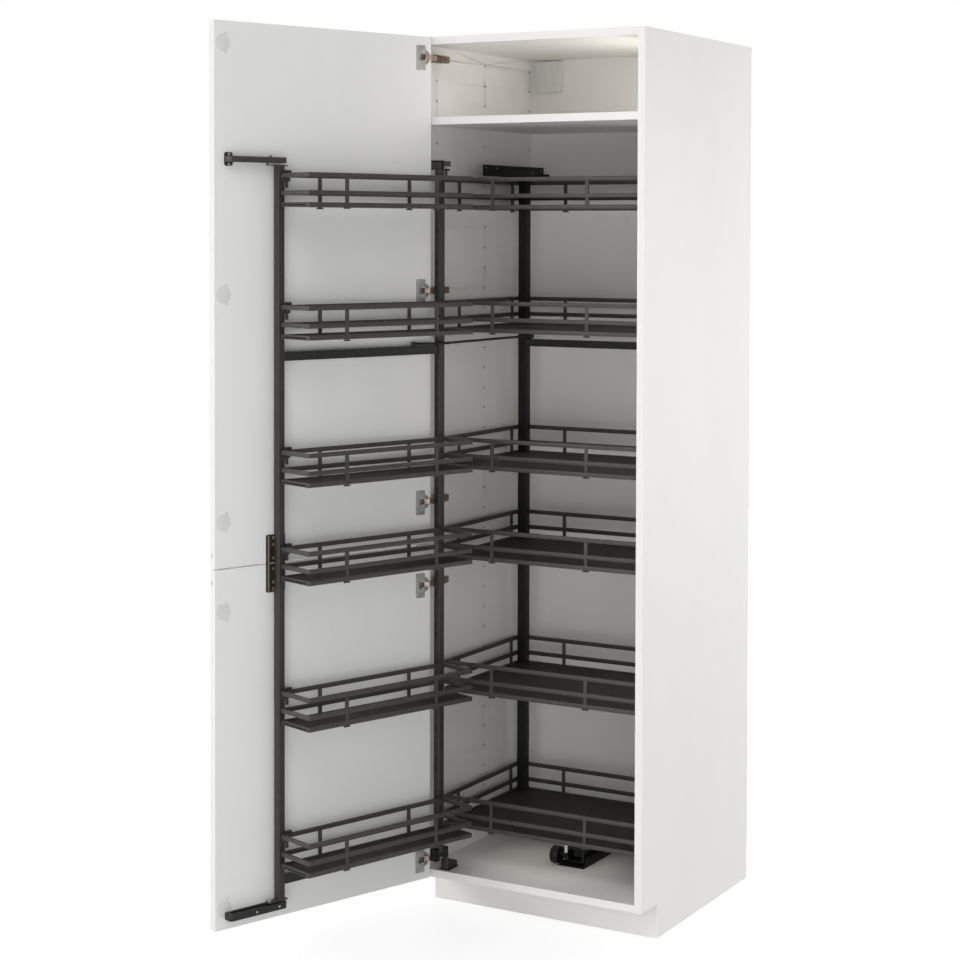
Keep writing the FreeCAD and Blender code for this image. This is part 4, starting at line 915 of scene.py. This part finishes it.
# covers over the wall fixings, each a cap on a smaller seat
fixing = dict(wide=0.072, round=0.004, edge=0.0012, gap=0.0012, capBack=0.0035, seatFrom=0.004)
low, high = boxIn("wall_fixing_covers", cornerPlace)
wide, gap = fixing["wide"], fixing["gap"]
pieces = []
for start in (low.x, high.x - wide):
    cap = addBlock((start, low.y, low.z), (start + wide, high.y - fixing["capBack"], high.z))
    roundCorners(cap, 1, fixing["round"], 6)
    soften(cap, fixing["edge"], 3)
    seat = addBlock((start + gap, high.y - fixing["seatFrom"], low.z + gap), (start + wide - gap, high.y, high.z - gap))
    roundCorners(seat, 1, fixing["round"] - gap, 6)
    pieces += paintAll("palePlastic", cap, seat)
settle(pieces, "wallFixingCovers", "carcass", "pale_plastic", cornerPlace, "wall_fixing_covers")
print("wall fixing covers made")

# camera at the photograph's place
view = dict(at=(2.3294, -4.2384, 1.6197), turn=(math.pi / 2 - 0.0297, -0.0031, 0.5084), lens=77.287, sensor=36.0,
            shift=(-0.0568, -0.1943))
clearPick()
bpy.ops.object.camera_add(location=view["at"], rotation=view["turn"])
camera = bpy.context.object
camera.data.lens = view["lens"]
camera.data.sensor_width = view["sensor"]
camera.data.shift_x, camera.data.shift_y = view["shift"]
bpy.context.scene.camera = camera

# soft studio: a pale floor and a surround that the camera sees as white, broad lamps, small fills in the cabinet
core, broad = (0.0, 0.0, 1.0), (2.6, 2.6)   # what most lamps aim at, and their size
studio = dict(surround=0.36, floorSize=14.0, floorWhite=(0.66, 1.0), floorFade=(0.5, 2.4), floorGlow=1.22,
              paper=(0.86, 0.86, 0.86, 1), paperRough=0.9, white=(1, 1, 1, 1), fillTint=(1.0, 0.965, 0.89),
              lamps=(("backRightLamp", (3.6, 4.2, 1.2), core, broad, 118.0),
                     ("frontRightLamp", (1.7, -4.6, 1.8), core, broad, 10.0),
                     ("frontLamp", (-1.3, -5.0, 2.0), core, broad, 8.0),
                     ("highLamp", (1.2, -3.6, 4.8), core, broad, 46.0),
                     ("leftLamp", (-3.2, -4.0, 2.2), core, broad, 62.0),
                     ("lowLamp", (3.2, -4.0, 0.8), core, (2.0, 2.0), 29.0),
                     ("groundLamp", (0.6, -3.2, 0.4), (0.0, 0.0, 0.3), (1.8, 1.8), 16.0),
                     ("backLeftLamp", (-2.4, 3.0, 1.5), (-0.42, -0.35, 0.76), (1.6, 1.6), 30.0),
                     ("shelfFill", (0.277, 0.1, 1.95), (-0.3, 0.1, 1.85), (0.44, 0.11), 0.46),
                     ("floorFill", (-0.02, 0.08, 0.178), (-0.02, 0.0801, 0.0), (0.36, 0.3), 0.075),
                     ("wallFill", (0.272, 0.12, 1.2), (-0.3, 0.12, 1.2), (0.3, 1.36), 1.02)))
for name, at, aim, wide, power in studio["lamps"]:
    bpy.ops.object.light_add(type="AREA", location=at)
    lamp = bpy.context.object
    lamp.name = name
    lamp.data.shape = "ELLIPSE"
    lamp.data.size, lamp.data.size_y = wide
    lamp.data.energy = power
    lamp.visible_camera = False
    lamp.rotation_euler = (Vector(aim) - Vector(at)).to_track_quat("-Z", "Y").to_euler()
    if name.endswith("Fill"):
        lamp.data.color = studio["fillTint"]

clearPick()
bpy.ops.mesh.primitive_plane_add(size=studio["floorSize"], location=(0, 0, 0))
floor = bpy.context.object
floor.name = "studioFloor"
floorFinish = bpy.data.materials.new("floorPaper")
floorFinish.use_nodes = True
tree = floorFinish.node_tree
paper = tree.nodes["Principled BSDF"]
paper.inputs["Base Color"].default_value = studio["paper"]
paper.inputs["Roughness"].default_value = studio["paperRough"]
glow = addNode(tree, "Emission", Strength=studio["floorGlow"])
rays = addNode(tree, "LightPath")
share = addNode(tree, "Math", {"operation": "MULTIPLY"})
reach = addNode(tree, "VectorMath", {"operation": "LENGTH"})
tree.links.new(addNode(tree, "TexCoord").outputs["Object"], reach.inputs[0])
fade = spread(tree, reach.outputs["Value"], *studio["floorWhite"], studio["floorFade"])
mixed = addNode(tree, "MixShader")
wire(tree, (rays.outputs["Is Camera Ray"], share.inputs[0]), (fade, share.inputs[1]),
     (share.outputs[0], mixed.inputs["Fac"]), (paper.outputs["BSDF"], mixed.inputs[1]),
     (glow.outputs["Emission"], mixed.inputs[2]),
     (mixed.outputs["Shader"], tree.nodes["Material Output"].inputs["Surface"]))
floor.data.materials.append(floorFinish)

world = bpy.context.scene.world or bpy.data.worlds.new("studio")
bpy.context.scene.world = world
world.use_nodes = True
tree = world.node_tree
tree.nodes.clear()
rays = addNode(tree, "LightPath")
seen = addNode(tree, "Math", {"operation": "MAXIMUM"})
soft = addNode(tree, "Background", Color=studio["white"], Strength=studio["surround"])
white = addNode(tree, "Background", Color=studio["white"], Strength=1.0)
mixed = addNode(tree, "MixShader")
out = addNode(tree, "OutputWorld")
wire(tree, (rays.outputs["Is Camera Ray"], seen.inputs[0]), (rays.outputs["Is Transmission Ray"], seen.inputs[1]),
     (seen.outputs[0], mixed.inputs["Fac"]), (soft.outputs[0], mixed.inputs[1]), (white.outputs[0], mixed.inputs[2]),
     (mixed.outputs[0], out.inputs["Surface"]))
bpy.context.scene.view_settings.view_transform = "Standard"
print("studio set")
